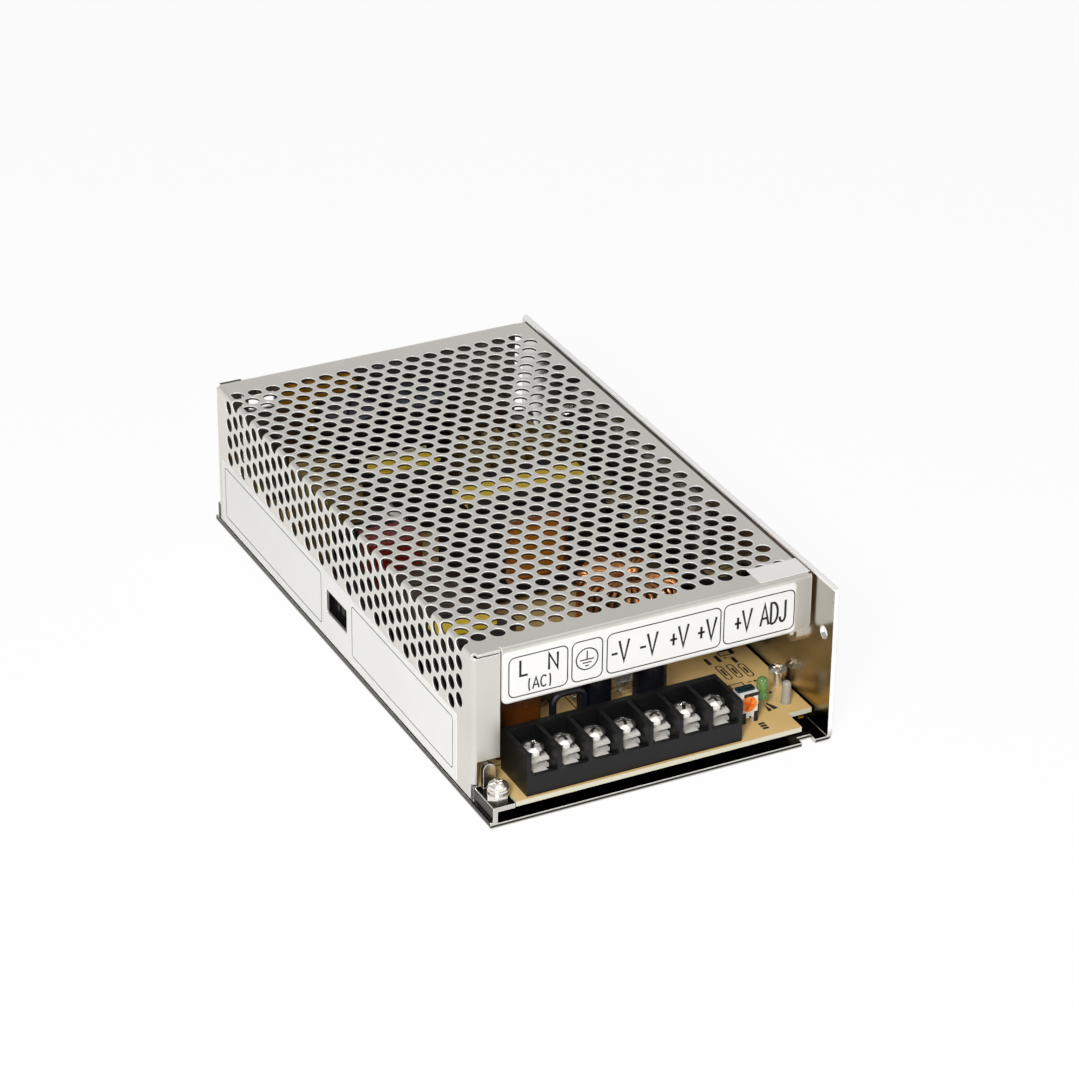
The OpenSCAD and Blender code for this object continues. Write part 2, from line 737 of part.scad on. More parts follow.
module terminal_housing() {
    step_y = plate_f + plate_fold + 0.2;
    step_z = seat_z - 0.5;
    color([0.09, 0.09, 0.1]) difference() {
        union() {
            along_x(block_l, block_l + block_w) polygon([
                [block_f, board_top], [block_f, board_top + sill_h],
                [block_f + sill_t, board_top + sill_h], [block_f + sill_t, step_z],
                [step_y, step_z], [step_y, seat_z],
                [block_b - back_wall_t, seat_z], [block_b - back_wall_t, block_top],
                [block_b, block_top], [block_b, board_top]]);
            for (i = [0 : terminal_n])
                along_x(block_l + i * terminal_pitch, block_l + i * terminal_pitch + barrier_t) polygon([
                    [block_f, board_top], [block_f, block_top - 0.8], [block_f + 0.8, block_top],
                    [block_b, block_top], [block_b, board_top]]);
        }
        for (i = [1 : terminal_n]) translate([term_x(i), term_y, well_floor])
            cylinder(d = well_d, h = seat_z - well_floor + eps);
    }
}

module terminal_plates() {
    fold_y = plate_f + plate_fold;
    color([0.8, 0.79, 0.74]) difference() {
        for (i = [1 : terminal_n]) along_z(seat_z, plate_top) {
            rect(term_x(i) - plate_w / 2, fold_y, term_x(i) + plate_w / 2, plate_b);
            rect(term_x(i) - tongue_w / 2, plate_f, term_x(i) + tongue_w / 2, fold_y + eps);
        }
        for (i = [1 : terminal_n]) translate([term_x(i), term_y, seat_z - eps])
            cylinder(d = term_screw_d + 2 * screw_fit, h = plate_t + 2 * eps);
    }
}

module terminal_screw(i) {
    color([0.82, 0.8, 0.74]) translate([term_x(i), term_y, head_bot]) rotate(20 + 37 * i)
        pan_screw(term_screw_d, term_head_d, term_head_h, term_shank);
}

// Saddle clamp: its front and rear edges turned down on to the wire, and a collar under the head
module terminal_clamp(i) {
    half = clamp_l / 2;
    flat = clamp_flat / 2;
    color([0.84, 0.82, 0.76]) difference() {
        union() {
            translate([0, term_y, clamp_bot]) along_x(term_x(i) - clamp_w / 2, term_x(i) + clamp_w / 2)
                polygon([[-half, 0], [-flat, clamp_drop], [flat, clamp_drop], [half, 0], [half, clamp_t],
                         [flat, clamp_drop + clamp_t], [-flat, clamp_drop + clamp_t], [-half, clamp_t]]);
            translate([term_x(i), term_y, clamp_bot + clamp_drop + clamp_t - eps])
                cylinder(d = collar_d, h = collar_h + eps);
        }
        translate([term_x(i), term_y, clamp_bot - eps])
            cylinder(d = term_screw_d + 4 * screw_fit, h = head_bot - clamp_bot + 2 * eps);
    }
}

module trimmer_body() {
    front = trimmer_at[1] - trimmer_d / 2;
    color("white") difference() {
        on_board(trimmer_at, [trimmer_w, trimmer_d, trimmer_h], 0.5);
        translate([trimmer_at[0], front - eps, rotor_z]) rotate([-90, 0, 0])
            cylinder(d = rotor_d + 2 * rotor_fit, h = rotor_depth + eps);
        translate([trimmer_at[0] - trimmer_w / 2 + 1.4, front - eps, board_top - eps])
            cube([trimmer_w - 2.8, trimmer_d + 2 * eps, 1.8]);
    }
}

module trimmer_rotor() {
    h = rotor_depth + rotor_proud - rotor_fit;
    color([0.95, 0.4, 0.1]) translate([trimmer_at[0], trimmer_at[1] - trimmer_d / 2 - rotor_proud, rotor_z])
        rotate([-90, 0, 0]) difference() {
            cylinder(d = rotor_d, h = h);
            for (a = [30, 120]) rotate(a) translate([-0.36 * rotor_d, -0.45, -eps])
                cube([0.72 * rotor_d, 0.9, 1.2]);
        }
}

module lamp() {
    color([0.3, 0.75, 0.35, 0.8]) translate([lamp_at[0], lamp_at[1], board_top + lamp_lift]) {
        cylinder(d = lamp_d + 0.8, h = 0.9);
        translate([0, 0, 0.9]) cylinder(d1 = lamp_d + 0.8, d2 = lamp_d, h = 0.9);
        cylinder(d = lamp_d, h = lamp_h - lamp_d / 2);
        translate([0, 0, lamp_h - lamp_d / 2]) sphere(d = lamp_d);
    }
}

module lamp_leads() {
    color("silver") for (s = [-1, 1])
        translate([lamp_at[0] + s * lead_pitch / 2 - lead_t / 2, lamp_at[1] - lead_t / 2, board_top])
            cube([lead_t, lead_t, lamp_lift]);
}

module selector_body() {
    color([0.1, 0.1, 0.11]) difference() {
        along_z(board_top, board_top + selector_h)
            soft_rect(selector_face, window_y - selector_len / 2, selector_face + selector_w,
                      window_y + selector_len / 2, 0.5);
        translate([selector_face - eps, slider_y - slider_travel - slider_l / 2 - slider_fit,
                   window_z - slider_h / 2 - slider_fit])
            cube([slider_depth + slider_fit + eps, slider_l + slider_travel + 2 * slider_fit,
                  slider_h + 2 * slider_fit]);
    }
}

module selector_slider() {
    color([0.7, 0.12, 0.1])
        translate([selector_face - slider_reach, slider_y - slider_l / 2, window_z - slider_h / 2])
            difference() {
                cube([slider_reach + slider_depth, slider_l, slider_h]);
                translate([-eps, slider_l / 2 - 0.6, -eps]) cube([0.8, 1.2, slider_h + 2 * eps]);
            }
}

module transformer_core() {
    color([0.13, 0.13, 0.14]) ferrite(trafo_at, trafo);
}

module transformer_winding() {
    color([0.93, 0.78, 0.12]) winding(trafo_at, trafo);
}

module transformer_band() {
    color([0.85, 0.6, 0.15]) along_z(board_top + 0.2 * trafo_h, board_top + 0.75 * trafo_h) difference() {
        rect(trafo_at[0] - trafo_w / 2 - band_t, trafo_at[1] - trafo_d / 2 - band_t,
             trafo_at[0] + trafo_w / 2 + band_t, trafo_at[1] + trafo_d / 2 + band_t);
        rect(trafo_at[0] - trafo_w / 2, trafo_at[1] - trafo_d / 2,
             trafo_at[0] + trafo_w / 2, trafo_at[1] + trafo_d / 2);
    }
}

module driver_core() {
    color([0.13, 0.13, 0.14]) ferrite(driver_at, driver);
}

module driver_winding() {
    color([0.93, 0.78, 0.12]) winding(driver_at, driver);
}

module line_choke_core() {
    color([0.13, 0.13, 0.14]) ferrite(line_choke_at, line_choke);
}

module line_choke_winding() {
    color([0.9, 0.75, 0.15]) winding(line_choke_at, line_choke);
}

module bulk_capacitors() {
    color([0.12, 0.13, 0.2]) for (p = bulk_at) translate([p[0], p[1], board_top])
        can_capacitor(bulk_d, bulk_h);
}

module output_capacitors() {
    color([0.12, 0.13, 0.2]) for (p = out_cap_at) translate([p[0], p[1], board_top])
        can_capacitor(out_cap_d, out_cap_h);
}

module filter_capacitors() {
    color([0.1, 0.1, 0.12]) for (p = filter_cap_at) translate([p[0], p[1], board_top])
        can_capacitor(filter_cap_d, filter_cap_h);
}

module line_capacitor() {
    color([0.45, 0.22, 0.12]) on_board(line_cap_at, line_cap, 1);
}

module red_capacitor() {
    color([0.5, 0.1, 0.08]) on_board(red_cap_at, red_cap, 1.5);
}

module bridge_rectifier() {
    color([0.1, 0.1, 0.11]) {
        on_board(bridge_at, bridge, 0.6, bridge_lift);
        for (k = [-1.5 : 1.5]) on_board([bridge_at[0] + 0.25 * k * bridge[0], bridge_at[1]],
                                        [1.2, 0.8, bridge_lift + 1], 0.2);
    }
}

module thermal_resistor() {
    color([0.12, 0.25, 0.15]) {
        translate([thermal_at[0], thermal_at[1] + thermal_t / 2, board_top + thermal_lift + thermal_d / 2])
            rotate([90, 0, 0]) cylinder(d = thermal_d, h = thermal_t);
        for (s = [-1, 1]) translate([thermal_at[0] + s * thermal_d / 5, thermal_at[1], board_top])
            cylinder(d = 0.9, h = thermal_lift + 3);
    }
}

module fuse_tube() {
    color([0.8, 0.85, 0.85]) translate([fuse_at[0] - fuse_l / 2, fuse_at[1], board_top + fuse_lift])
        rotate([0, 90, 0]) cylinder(d = fuse_d, h = fuse_l);
}

module fuse_clips() {
    half = fuse_d / 2 + clip_fit + clip_t;
    z = board_top + fuse_lift;
    color("silver") for (s = [-1, 1]) translate([fuse_at[0] + s * (fuse_l - clip_w) / 2, fuse_at[1], 0])
        along_x(-clip_w / 2, clip_w / 2) difference() {
            rect(-half, board_top, half, z + 1);
            rect(-half + clip_t, z - fuse_d / 2, half - clip_t, z + 1 + eps);
        }
}

module output_choke_core() {
    w = choke_core_w / 2;
    h = choke_core_h / 2;
    color([0.5, 0.5, 0.2]) translate([choke_at[0], choke_at[1], board_top + choke_h / 2])
        rotate_extrude() soft_rect(choke_r - w, -h, choke_r + w, h, 0.8);
}

// The turns fill all but a gap of the ring, where the ends of the wire go down to the board
module output_choke_winding() {
    w = choke_core_w / 2 + choke_fit;
    h = choke_core_h / 2 + choke_fit;
    color([0.8, 0.42, 0.16]) translate([choke_at[0], choke_at[1], board_top + choke_h / 2])
        rotate(choke_gap / 2) rotate_extrude(angle = 360 - choke_gap) difference() {
            soft_rect(choke_r - choke_section / 2, -choke_h / 2,
                      choke_r + choke_section / 2, choke_h / 2, 2.5);
            soft_rect(choke_r - w, -h, choke_r + w, h, 0.8);
        }
}

module heat_spreader() {
    color([0.75, 0.76, 0.77]) difference() {
        along_x(spreader_face, wall_in)
            rect(spreader_y - spreader_l / 2, spreader_z[0], spreader_y + spreader_l / 2, spreader_z[1]);
        for (y = spreader_screw_y) translate([spreader_face - eps, y, spreader_screw_z]) rotate([0, 90, 0])
            cylinder(d = spreader_screw_d + 2 * screw_fit, h = spreader_t + 2 * eps);
    }
}

module power_transistors() {
    x = spreader_face - transistor[0];
    color([0.15, 0.15, 0.16]) for (y = transistor_y) {
        translate([x, y - transistor[1] / 2, transistor_z]) cube(transistor);
        for (k = [-1, 0, 1])
            translate([x + transistor[0] / 2, y + k * leg_pitch - transistor_leg[1] / 2, board_top])
                cube([transistor_leg[0], transistor_leg[1], transistor_z - board_top + 1]);
    }
}

module spreader_screws() {
    color("silver") for (y = spreader_screw_y)
        translate([spreader_face, y, spreader_screw_z]) rotate([0, -90, 0])
            pan_screw(spreader_screw_d, 1.7 * spreader_screw_d, 0.6 * spreader_screw_d,
                      spreader_t + chassis_t);
}

module jumper_wire() {
    color([0.1, 0.12, 0.35]) translate([wire_at[0], wire_at[1], board_top]) {
        for (x = [0, wire_span]) translate([x, 0, 0]) cylinder(d = wire_d, h = wire_h - wire_bend);
        translate([wire_bend, 0, wire_h]) rotate([0, 90, 0])
            cylinder(d = wire_d, h = wire_span - 2 * wire_bend);
        for (a = [0, 90]) translate([a > 0 ? wire_bend : wire_span - wire_bend, 0, wire_h - wire_bend])
            rotate([90, 0, 0]) rotate(a) rotate_extrude(angle = 90)
                translate([wire_bend, 0]) circle(d = wire_d);
    }
}

chassis();
cover();
terminal_label();
side_label();
seal_sticker();
insulation_film();
circuit_board();
board_posts();
board_screws();
board_washers();
board_support();
earth_screw();
earth_washer();
earth_nut();
cover_screws();
mount_nuts();
terminal_housing();
terminal_plates();
for (i = [1 : terminal_n]) {
    terminal_screw(i);
    terminal_clamp(i);
}
trimmer_body();
trimmer_rotor();
lamp();
lamp_leads();
selector_body();
selector_slider();
transformer_core();
transformer_winding();
transformer_band();
driver_core();
driver_winding();
line_choke_core();
line_choke_winding();
bulk_capacitors();
output_capacitors();
filter_capacitors();
line_capacitor();
red_capacitor();
bridge_rectifier();
thermal_resistor();
fuse_tube();
fuse_clips();
output_choke_core();
output_choke_winding();
heat_spreader();
power_transistors();
spreader_screws();
jumper_wire();
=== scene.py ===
import math

import bmesh
import bpy
from mathutils import Matrix, Vector


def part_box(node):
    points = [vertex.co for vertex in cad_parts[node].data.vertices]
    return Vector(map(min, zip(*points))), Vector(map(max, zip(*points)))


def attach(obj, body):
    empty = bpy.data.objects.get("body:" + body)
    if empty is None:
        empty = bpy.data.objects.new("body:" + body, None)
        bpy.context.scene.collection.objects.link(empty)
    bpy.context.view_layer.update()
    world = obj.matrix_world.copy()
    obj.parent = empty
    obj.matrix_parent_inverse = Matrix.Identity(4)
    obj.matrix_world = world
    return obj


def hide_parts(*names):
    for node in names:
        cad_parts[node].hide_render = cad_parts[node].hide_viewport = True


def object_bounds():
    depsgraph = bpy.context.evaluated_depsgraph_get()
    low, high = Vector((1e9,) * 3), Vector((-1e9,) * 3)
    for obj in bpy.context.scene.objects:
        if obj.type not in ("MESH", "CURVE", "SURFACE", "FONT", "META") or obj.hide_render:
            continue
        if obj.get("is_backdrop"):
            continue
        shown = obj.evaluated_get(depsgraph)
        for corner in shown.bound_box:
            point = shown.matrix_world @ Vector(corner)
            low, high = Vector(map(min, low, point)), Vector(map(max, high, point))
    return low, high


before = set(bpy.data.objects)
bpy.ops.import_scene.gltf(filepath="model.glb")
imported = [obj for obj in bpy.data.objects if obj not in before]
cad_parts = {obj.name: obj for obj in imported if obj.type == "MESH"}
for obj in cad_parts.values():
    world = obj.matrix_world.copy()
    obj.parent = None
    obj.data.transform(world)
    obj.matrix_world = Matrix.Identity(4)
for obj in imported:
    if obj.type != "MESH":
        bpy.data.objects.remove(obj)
cad_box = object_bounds()
scene = bpy.context.scene
scene.view_settings.view_transform = "Standard"

# Camera: a long lens at the front left, a little under thirty degrees above the floor, so that the
# terminals, the perforated top and the labelled flank all show.
turn, rise, roll = (math.radians(a) for a in (-26.9, 28.875, 0.643))
back = Vector((math.sin(turn) * math.cos(rise), -math.cos(turn) * math.cos(rise), math.sin(rise)))
across = Vector((math.cos(turn), math.sin(turn), 0))
over = back.cross(across)
level = across * math.cos(roll) + over * math.sin(roll)
upright = over * math.cos(roll) - across * math.sin(roll)
sensor_mm, focal_px, frame_px = 36, 3854.03, 1079
aim, distance = Vector((0.011785, 0.003523, 0.025)), 1.165822
lens = bpy.data.cameras.new("camera")
lens.sensor_width, lens.lens, lens.clip_start = sensor_mm, focal_px / frame_px * sensor_mm, 0.05
camera = bpy.data.objects.new("camera", lens)
camera.matrix_world = (Matrix.Translation(aim + back * distance)
                       @ Matrix((level, upright, back)).transposed().to_4x4())
scene.collection.objects.link(camera)
scene.camera = camera


# Studio: a white table sheet under soft light from all round, with one diffuser at the front left and a
# weaker one overhead. Seen directly or in metal the surroundings are white, and the sheet keeps a shadow.
def linear(hex_colour):
    """The linear colour, with alpha 1, of an sRGB hex value."""
    values = [int(hex_colour[i:i + 2], 16) / 255 for i in (1, 3, 5)]
    return [v / 12.92 if v <= 0.04045 else ((v + 0.055) / 1.055) ** 2.4 for v in values] + [1.0]


def add(tree, kind, inputs=None, **settings):
    """A new node with its settings; each input is a value, or the output that is linked to it."""
    made = tree.nodes.new(kind)
    for name, value in settings.items():
        setattr(made, name, value)
    for socket, value in (inputs or {}).items():
        if isinstance(value, bpy.types.NodeSocket):
            tree.links.new(value, made.inputs[socket])
        else:
            made.inputs[socket].default_value = value
    return made


def seen(tree):
    """1 where this is looked at, straight, in metal or through glass, and 0 where it only gives light."""
    path = add(tree, "ShaderNodeLightPath").outputs
    looked_at = path["Is Camera Ray"]
    for ray in ("Is Glossy Ray", "Is Transmission Ray"):
        looked_at = add(tree, "ShaderNodeMath", {0: looked_at, 1: path[ray]}, operation="MAXIMUM").outputs[0]
    return looked_at


world = bpy.data.worlds.new("studio")
world.use_nodes = True
scene.world = world
tree = world.node_tree
tree.nodes.clear()
lit = add(tree, "ShaderNodeBackground", {"Color": linear("#ffffff"), "Strength": 0.3})
# The backdrop is white up to a third of the way overhead, and the ceiling above it is greyer.
way = add(tree, "ShaderNodeTexCoord").outputs["Generated"]
way = add(tree, "ShaderNodeSeparateXYZ", {0: way}).outputs[2]
height = add(tree, "ShaderNodeMapRange", {"Value": way, "From Min": 0.15, "From Max": 0.6, "To Min": 1.0,
                                          "To Max": 0.55})
white = add(tree, "ShaderNodeBackground", {"Color": linear("#ffffff"), "Strength": height.outputs[0]})
both = add(tree, "ShaderNodeMixShader", {0: seen(tree), 1: lit.outputs[0], 2: white.outputs[0]})
add(tree, "ShaderNodeOutputWorld", {"Surface": both.outputs[0]})

sheet = bmesh.new()
bmesh.ops.create_grid(sheet, x_segments=8, y_segments=8, size=4)
mesh = bpy.data.meshes.new("table_sheet")
sheet.to_mesh(mesh)
sheet.free()
table_sheet = bpy.data.objects.new("table_sheet", mesh)
# The sheet lies a hair under the base, so that no two faces share a plane.
table_sheet.location.z = -0.00015
scene.collection.objects.link(table_sheet)
table_sheet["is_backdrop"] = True
# White paper: matt, and nearly pure white where it is looked at, with a part of its own shade left in it.
whiteness = 0.92
paper = bpy.data.materials.new("white_paper_sheet")
paper.use_nodes = True
tree = paper.node_tree
shader = tree.nodes["Principled BSDF"]
shader.inputs["Base Color"].default_value = linear("#f6f6f5")
shader.inputs["Roughness"].default_value = 0.9
part = add(tree, "ShaderNodeMath", {0: seen(tree), 1: whiteness}, operation="MULTIPLY")
white = add(tree, "ShaderNodeEmission", {"Color": linear("#ffffff"), "Strength": 1.0})
both = add(tree, "ShaderNodeMixShader", {0: part.outputs[0], 1: shader.outputs[0], 2: white.outputs[0]})
# Seen from below the sheet is clear, so that the underside of the case shows.
under = add(tree, "ShaderNodeNewGeometry").outputs["Backfacing"]
clear = add(tree, "ShaderNodeBsdfTransparent")
either = add(tree, "ShaderNodeMixShader", {0: under, 1: both.outputs[0], 2: clear.outputs[0]})
tree.links.new(either.outputs[0], tree.nodes["Material Output"].inputs["Surface"])
mesh.materials.append(paper)

for name, place, size, power in (("front_left_diffuser", (-0.68, -0.9, 0.76), 0.3, 15.0),
                                 ("overhead_diffuser", (0.1, -0.2, 1.5), 0.9, 3.0)):
    lamp = bpy.data.lights.new(name, "AREA")
    lamp.shape, lamp.size, lamp.energy = "SQUARE", size, power
    holder = bpy.data.objects.new(name, lamp)
    holder.location = place
    holder.rotation_euler = (Vector((0, 0, 0.02)) - Vector(place)).to_track_quat("-Z", "Y").to_euler()
    scene.collection.objects.link(holder)


# Chassis: one steel sheet, plated in bright zinc and folded into a base, a tall wall on the right, a low
# lip on the left and a raised shelf at the front. It mirrors softly, with faint lines from the mill.
def surface(name, light, dark, drift_mm, smooth, rough, grain_mm, depth_mm, stretch=(1, 1, 1), edge_mm=0,
            worn_highlight=None, **sockets):
    """A finish whose colour drifts between two tones over drift_mm, and whose grain, drawn out along an
    axis by stretch, moves the roughness and the relief. Its edges are eased over edge_mm, and on a metal
    they are painted in the worn colour, a painted highlight for rubbed edges that catch the light. Other
    sockets are given by name."""
    material = bpy.data.materials.new(name)
    material.use_nodes = True
    tree = material.node_tree
    where = add(tree, "ShaderNodeTexCoord").outputs["Object"]
    drift = add(tree, "ShaderNodeTexNoise", {"Vector": where, "Scale": 1000 / drift_mm, "Detail": 3})
    tone = add(tree, "ShaderNodeMix", {0: drift.outputs[0], 6: linear(dark), 7: linear(light)},
               data_type="RGBA")
    drawn = add(tree, "ShaderNodeMapping", {"Vector": where, "Scale": stretch})
    grain = add(tree, "ShaderNodeTexNoise", {"Vector": drawn.outputs[0], "Scale": 1000 / grain_mm,
                                             "Detail": 2})
    gloss = add(tree, "ShaderNodeMapRange", {"Value": grain.outputs[0], "From Min": 0.3, "From Max": 0.7,
                                             "To Min": smooth, "To Max": rough})
    relief = add(tree, "ShaderNodeBump", {"Height": grain.outputs[0], "Distance": depth_mm / 1000})
    shader = tree.nodes["Principled BSDF"]
    if edge_mm:
        eased = add(tree, "ShaderNodeBevel", {"Radius": edge_mm / 1000}, samples=4)
        tree.links.new(eased.outputs[0], relief.inputs["Normal"])
    # The worn colour is a painted highlight: the eased edges are painted in it and made less metallic.
    if worn_highlight:
        plain = add(tree, "ShaderNodeNewGeometry").outputs["True Normal"]
        flat = add(tree, "ShaderNodeVectorMath", {0: eased.outputs[0], 1: plain}, operation="DOT_PRODUCT")
        rubbed_highlight = add(tree, "ShaderNodeMapRange", {"Value": flat.outputs["Value"], "From Min": 0.997,
                                                  "From Max": 0.95}).outputs[0]
        tone = add(tree, "ShaderNodeMix", {0: rubbed_highlight, 6: tone.outputs[2], 7: linear(worn_highlight)},
                   data_type="RGBA")
        metal = add(tree, "ShaderNodeMapRange", {"Value": rubbed_highlight, "To Min": 1.0, "To Max": 0.15})
        tree.links.new(metal.outputs[0], shader.inputs["Metallic"])
    tree.links.new(tone.outputs[2], shader.inputs["Base Color"])
    tree.links.new(gloss.outputs[0], shader.inputs["Roughness"])
    tree.links.new(relief.outputs[0], shader.inputs["Normal"])
    for socket, value in sockets.items():
        shader.inputs[socket.replace("_", " ")].default_value = value
    return material


def dress(material, *names):
    """CAD nodes take this material."""
    for name in names:
        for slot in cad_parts[name].material_slots:
            slot.material = material


def places(material):
    """Where a point of the material is in the frame, and which way it faces, by axis."""
    tree = material.node_tree
    spot = add(tree, "ShaderNodeTexCoord").outputs["Object"]
    facing = add(tree, "ShaderNodeNewGeometry").outputs["True Normal"]
    return [add(tree, "ShaderNodeSeparateXYZ", {0: v}).outputs for v in (spot, facing)]


def patch(material, colour, metallic, tests):
    """Recolours a metal with worn edges where all tests hold, to paint shade, highlights and reflections on
    it. A test has a value, and where it begins and is full.
    """
    tree = material.node_tree
    tone, metal = (tree.nodes["Principled BSDF"].inputs[n] for n in ("Base Color", "Metallic"))
    here = None
    for value, none, full in tests:
        limits = {"Value": value, "From Min": none, "From Max": full}
        test = add(tree, "ShaderNodeMapRange", limits).outputs[0]
        if here:
            test = add(tree, "ShaderNodeMath", {0: here, 1: test}, operation="MULTIPLY").outputs[0]
        here = test
    mixed = add(tree, "ShaderNodeMix", {0: here, 6: tone.links[0].from_socket, 7: linear(colour)},
                data_type="RGBA")
    least = add(tree, "ShaderNodeMapRange", {"Value": here, "To Min": 1.0, "To Max": metallic}).outputs[0]
    least = add(tree, "ShaderNodeMath", {0: metal.links[0].from_socket, 1: least}, operation="MINIMUM")
    tree.links.new(mixed.outputs[2], tone)
    tree.links.new(least.outputs[0], metal)


# Bright zinc on cold rolled steel: a soft mirror with mill lines along its length, which are drawn 0.5 mm
# apart, coarser than real ones, so that they show.
# Its eased edges are painted pale, as a highlight.
bright_zinc = surface("bright_zinc_plate", "#d6d3cd", "#c8c5be", 35, 0.21, 0.24, 0.5, 0.0006,
                      stretch=(1, 0.02, 1), edge_mm=0.3, worn_highlight="#f4f2ee")
spot, facing = places(bright_zinc)
forward, leftward, upward = (facing[1], -0.8, -0.9), (facing[0], -0.8, -0.9), (facing[2], 0.8, 0.9)
# The sheared front edge of the base has a torn band between two bright lines; the band's dark colour is a
# painted reflection.
patch(bright_zinc, "#3a3833", 1.0, (forward, (spot[2], 0.0003, 0.0005), (spot[2], 0.0012, 0.001)))
# Painted shade darkens the ledge on the left, the shelf in the front corner, the floor and the foot of the
# wall.
patch(bright_zinc, "#33312d", 1.0, (leftward, (spot[0], -0.053, -0.0535), (spot[2], 0.0007, 0.0009)))
patch(bright_zinc, "#3d3a34", 1.0, (upward, (spot[0], -0.0468, -0.0471), (spot[1], -0.0875, -0.0876),
                                    (spot[2], 0.0079, 0.0078)))
patch(bright_zinc, "#2b2926", 1.0, (upward, (spot[2], 0.0017, 0.0016), (spot[0], -0.05, -0.049)))
inner_wall = (leftward, (spot[0], 0.05, 0.051))
# Near the front the inner face of the wall is painted tan, a painted reflection of the board.
patch(bright_zinc, "#a89468", 1.0, inner_wall + ((spot[2], 0.036, 0.012), (spot[1], -0.06, -0.09)))
patch(bright_zinc, "#24221f", 1.0, inner_wall + ((spot[2], 0.009, 0.007),))
# The wall's front and top edges are painted near white, as a painted highlight.
patch(bright_zinc, "#fbfaf8", 0.3, (forward, (spot[0], 0.0532, 0.0534), (spot[2], 0.002, 0.004)))
patch(bright_zinc, "#fbfaf8", 0.3, ((spot[2], 0.0493, 0.0494),))
dress(bright_zinc, "chassis")

# Insulating film: a thin amber polyester sheet between the chassis and the solder side of the board,
# turned up at the rear. Glossy and half clear, so it stains what is behind it.
amber_film = surface("amber_polyester_film", "#e0a22c", "#cf8d1c", 30, 0.15, 0.25, 3, 0.004,
                     Transmission_Weight=0.35, IOR=1.6)
dress(amber_film, "insulation_film")

# Circuit board: pressed paper laminate, plain on the component side and lacquered green under it. The
# part outlines are printed on in black. It rests on metal posts, a nylon support and the shelf.
# Paper laminate has a waxy, speckled tan face.
laminate = surface("pressed_paper_laminate", "#dfc187", "#d2ae6c", 12, 0.38, 0.52, 0.4, 0.003,
                   Specular_IOR_Level=0.3)
tree = laminate.node_tree
shader = tree.nodes["Principled BSDF"]
facing = add(tree, "ShaderNodeTexCoord").outputs["Normal"]
facing = add(tree, "ShaderNodeSeparateXYZ", {0: facing}).outputs[2]
flat = add(tree, "ShaderNodeMath", {0: facing}, operation="ABSOLUTE").outputs[0]
# Sawn edges are paler than the faces, and the solder side is green.
plain = shader.inputs["Base Color"].links[0].from_socket
edge = add(tree, "ShaderNodeMix", {0: flat, 6: linear("#cfccb8"), 7: plain}, data_type="RGBA")
below = add(tree, "ShaderNodeMath", {0: facing, 1: -0.5}, operation="LESS_THAN")
lacquer = add(tree, "ShaderNodeMix", {0: below.outputs[0], 6: edge.outputs[2], 7: linear("#0d2114")},
              data_type="RGBA")
tree.links.new(lacquer.outputs[2], shader.inputs["Base Color"])
dress(laminate, "circuit_board")


def piece(name, shape, materials, body, smooth=False):
    """The shape becomes a piece that rides on a CAD body; its faces' numbers pick among the materials."""
    mesh = bpy.data.meshes.new(name)
    bmesh.ops.recalc_face_normals(shape, faces=shape.faces)
    shape.to_mesh(mesh)
    shape.free()
    mesh.polygons.foreach_set("use_smooth", [smooth] * len(mesh.polygons))
    if smooth:
        mesh.set_sharp_from_angle(angle=math.radians(35))
    for material in materials:
        mesh.materials.append(material)
    made = bpy.data.objects.new(name, mesh)
    scene.collection.objects.link(made)
    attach(made, body)
    return made


def plane(origin, u, v):
    """Millimetres along u, along v and out of a face, as metres in the frame."""
    u, v = Vector(u), Vector(v)
    axes = Matrix((u, v, u.cross(v))).transposed().to_4x4()
    return Matrix.Scale(0.001, 4) @ Matrix.Translation(Vector(origin)) @ axes


def inlay(shape, place, outline, hole=None, depth=0.02, index=0):
    """A printed or laid-on plate with that outline, and a hole with as many corners if one is given."""
    def ring(points, height):
        return [shape.verts.new(place @ Vector((p[0], p[1], height))) for p in points]
    low, high = ring(outline, -0.01), ring(outline, depth)
    n = len(outline)
    made = []
    sides = [(low, high)]
    if hole:
        hole_low, hole_high = ring(hole, -0.01), ring(hole, depth)
        sides += [(hole_high, hole_low), (high, hole_high), (hole_low, low)]
    else:
        made += [shape.faces.new(high), shape.faces.new(low[::-1])]
    for a, b in sides:
        for i in range(n):
            made.append(shape.faces.new((a[i], a[(i + 1) % n], b[(i + 1) % n], b[i])))
    for face in made:
        face.material_index = index


def rounded(x0, y0, x1, y1, r, corner=5):
    """Corner points of a rectangle with rounded corners, anticlockwise."""
    points = []
    corners = ((x1 - r, y1 - r, 0), (x0 + r, y1 - r, 90), (x0 + r, y0 + r, 180), (x1 - r, y0 + r, 270))
    for cx, cy, start in corners:
        for k in range(corner + 1):
            a = math.radians(start + 90 * k / corner)
            points.append((cx + r * math.cos(a), cy + r * math.sin(a)))
    return points


def outline(shape, place, x0, y0, x1, y1, r, line, depth=0.02, index=0):
    """A frame of that line width, inside those edges."""
    inner = max(r - line, 0.02)
    inlay(shape, place, rounded(x0, y0, x1, y1, r),
          rounded(x0 + line, y0 + line, x1 - line, y1 - line, inner), depth, index)


# Screen printed ink, a little proud of what it is printed on, with worn patches.
black_ink = surface("screen_printed_black_ink", "#2c2722", "#1a1715", 4, 0.5, 0.65, 0.3, 0.002,
                    Specular_IOR_Level=0.3)
board_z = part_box("circuit_board")[1].z * 1000
on_board = plane((0, 0, board_z), (1, 0, 0), (0, 1, 0))
shape = bmesh.new()
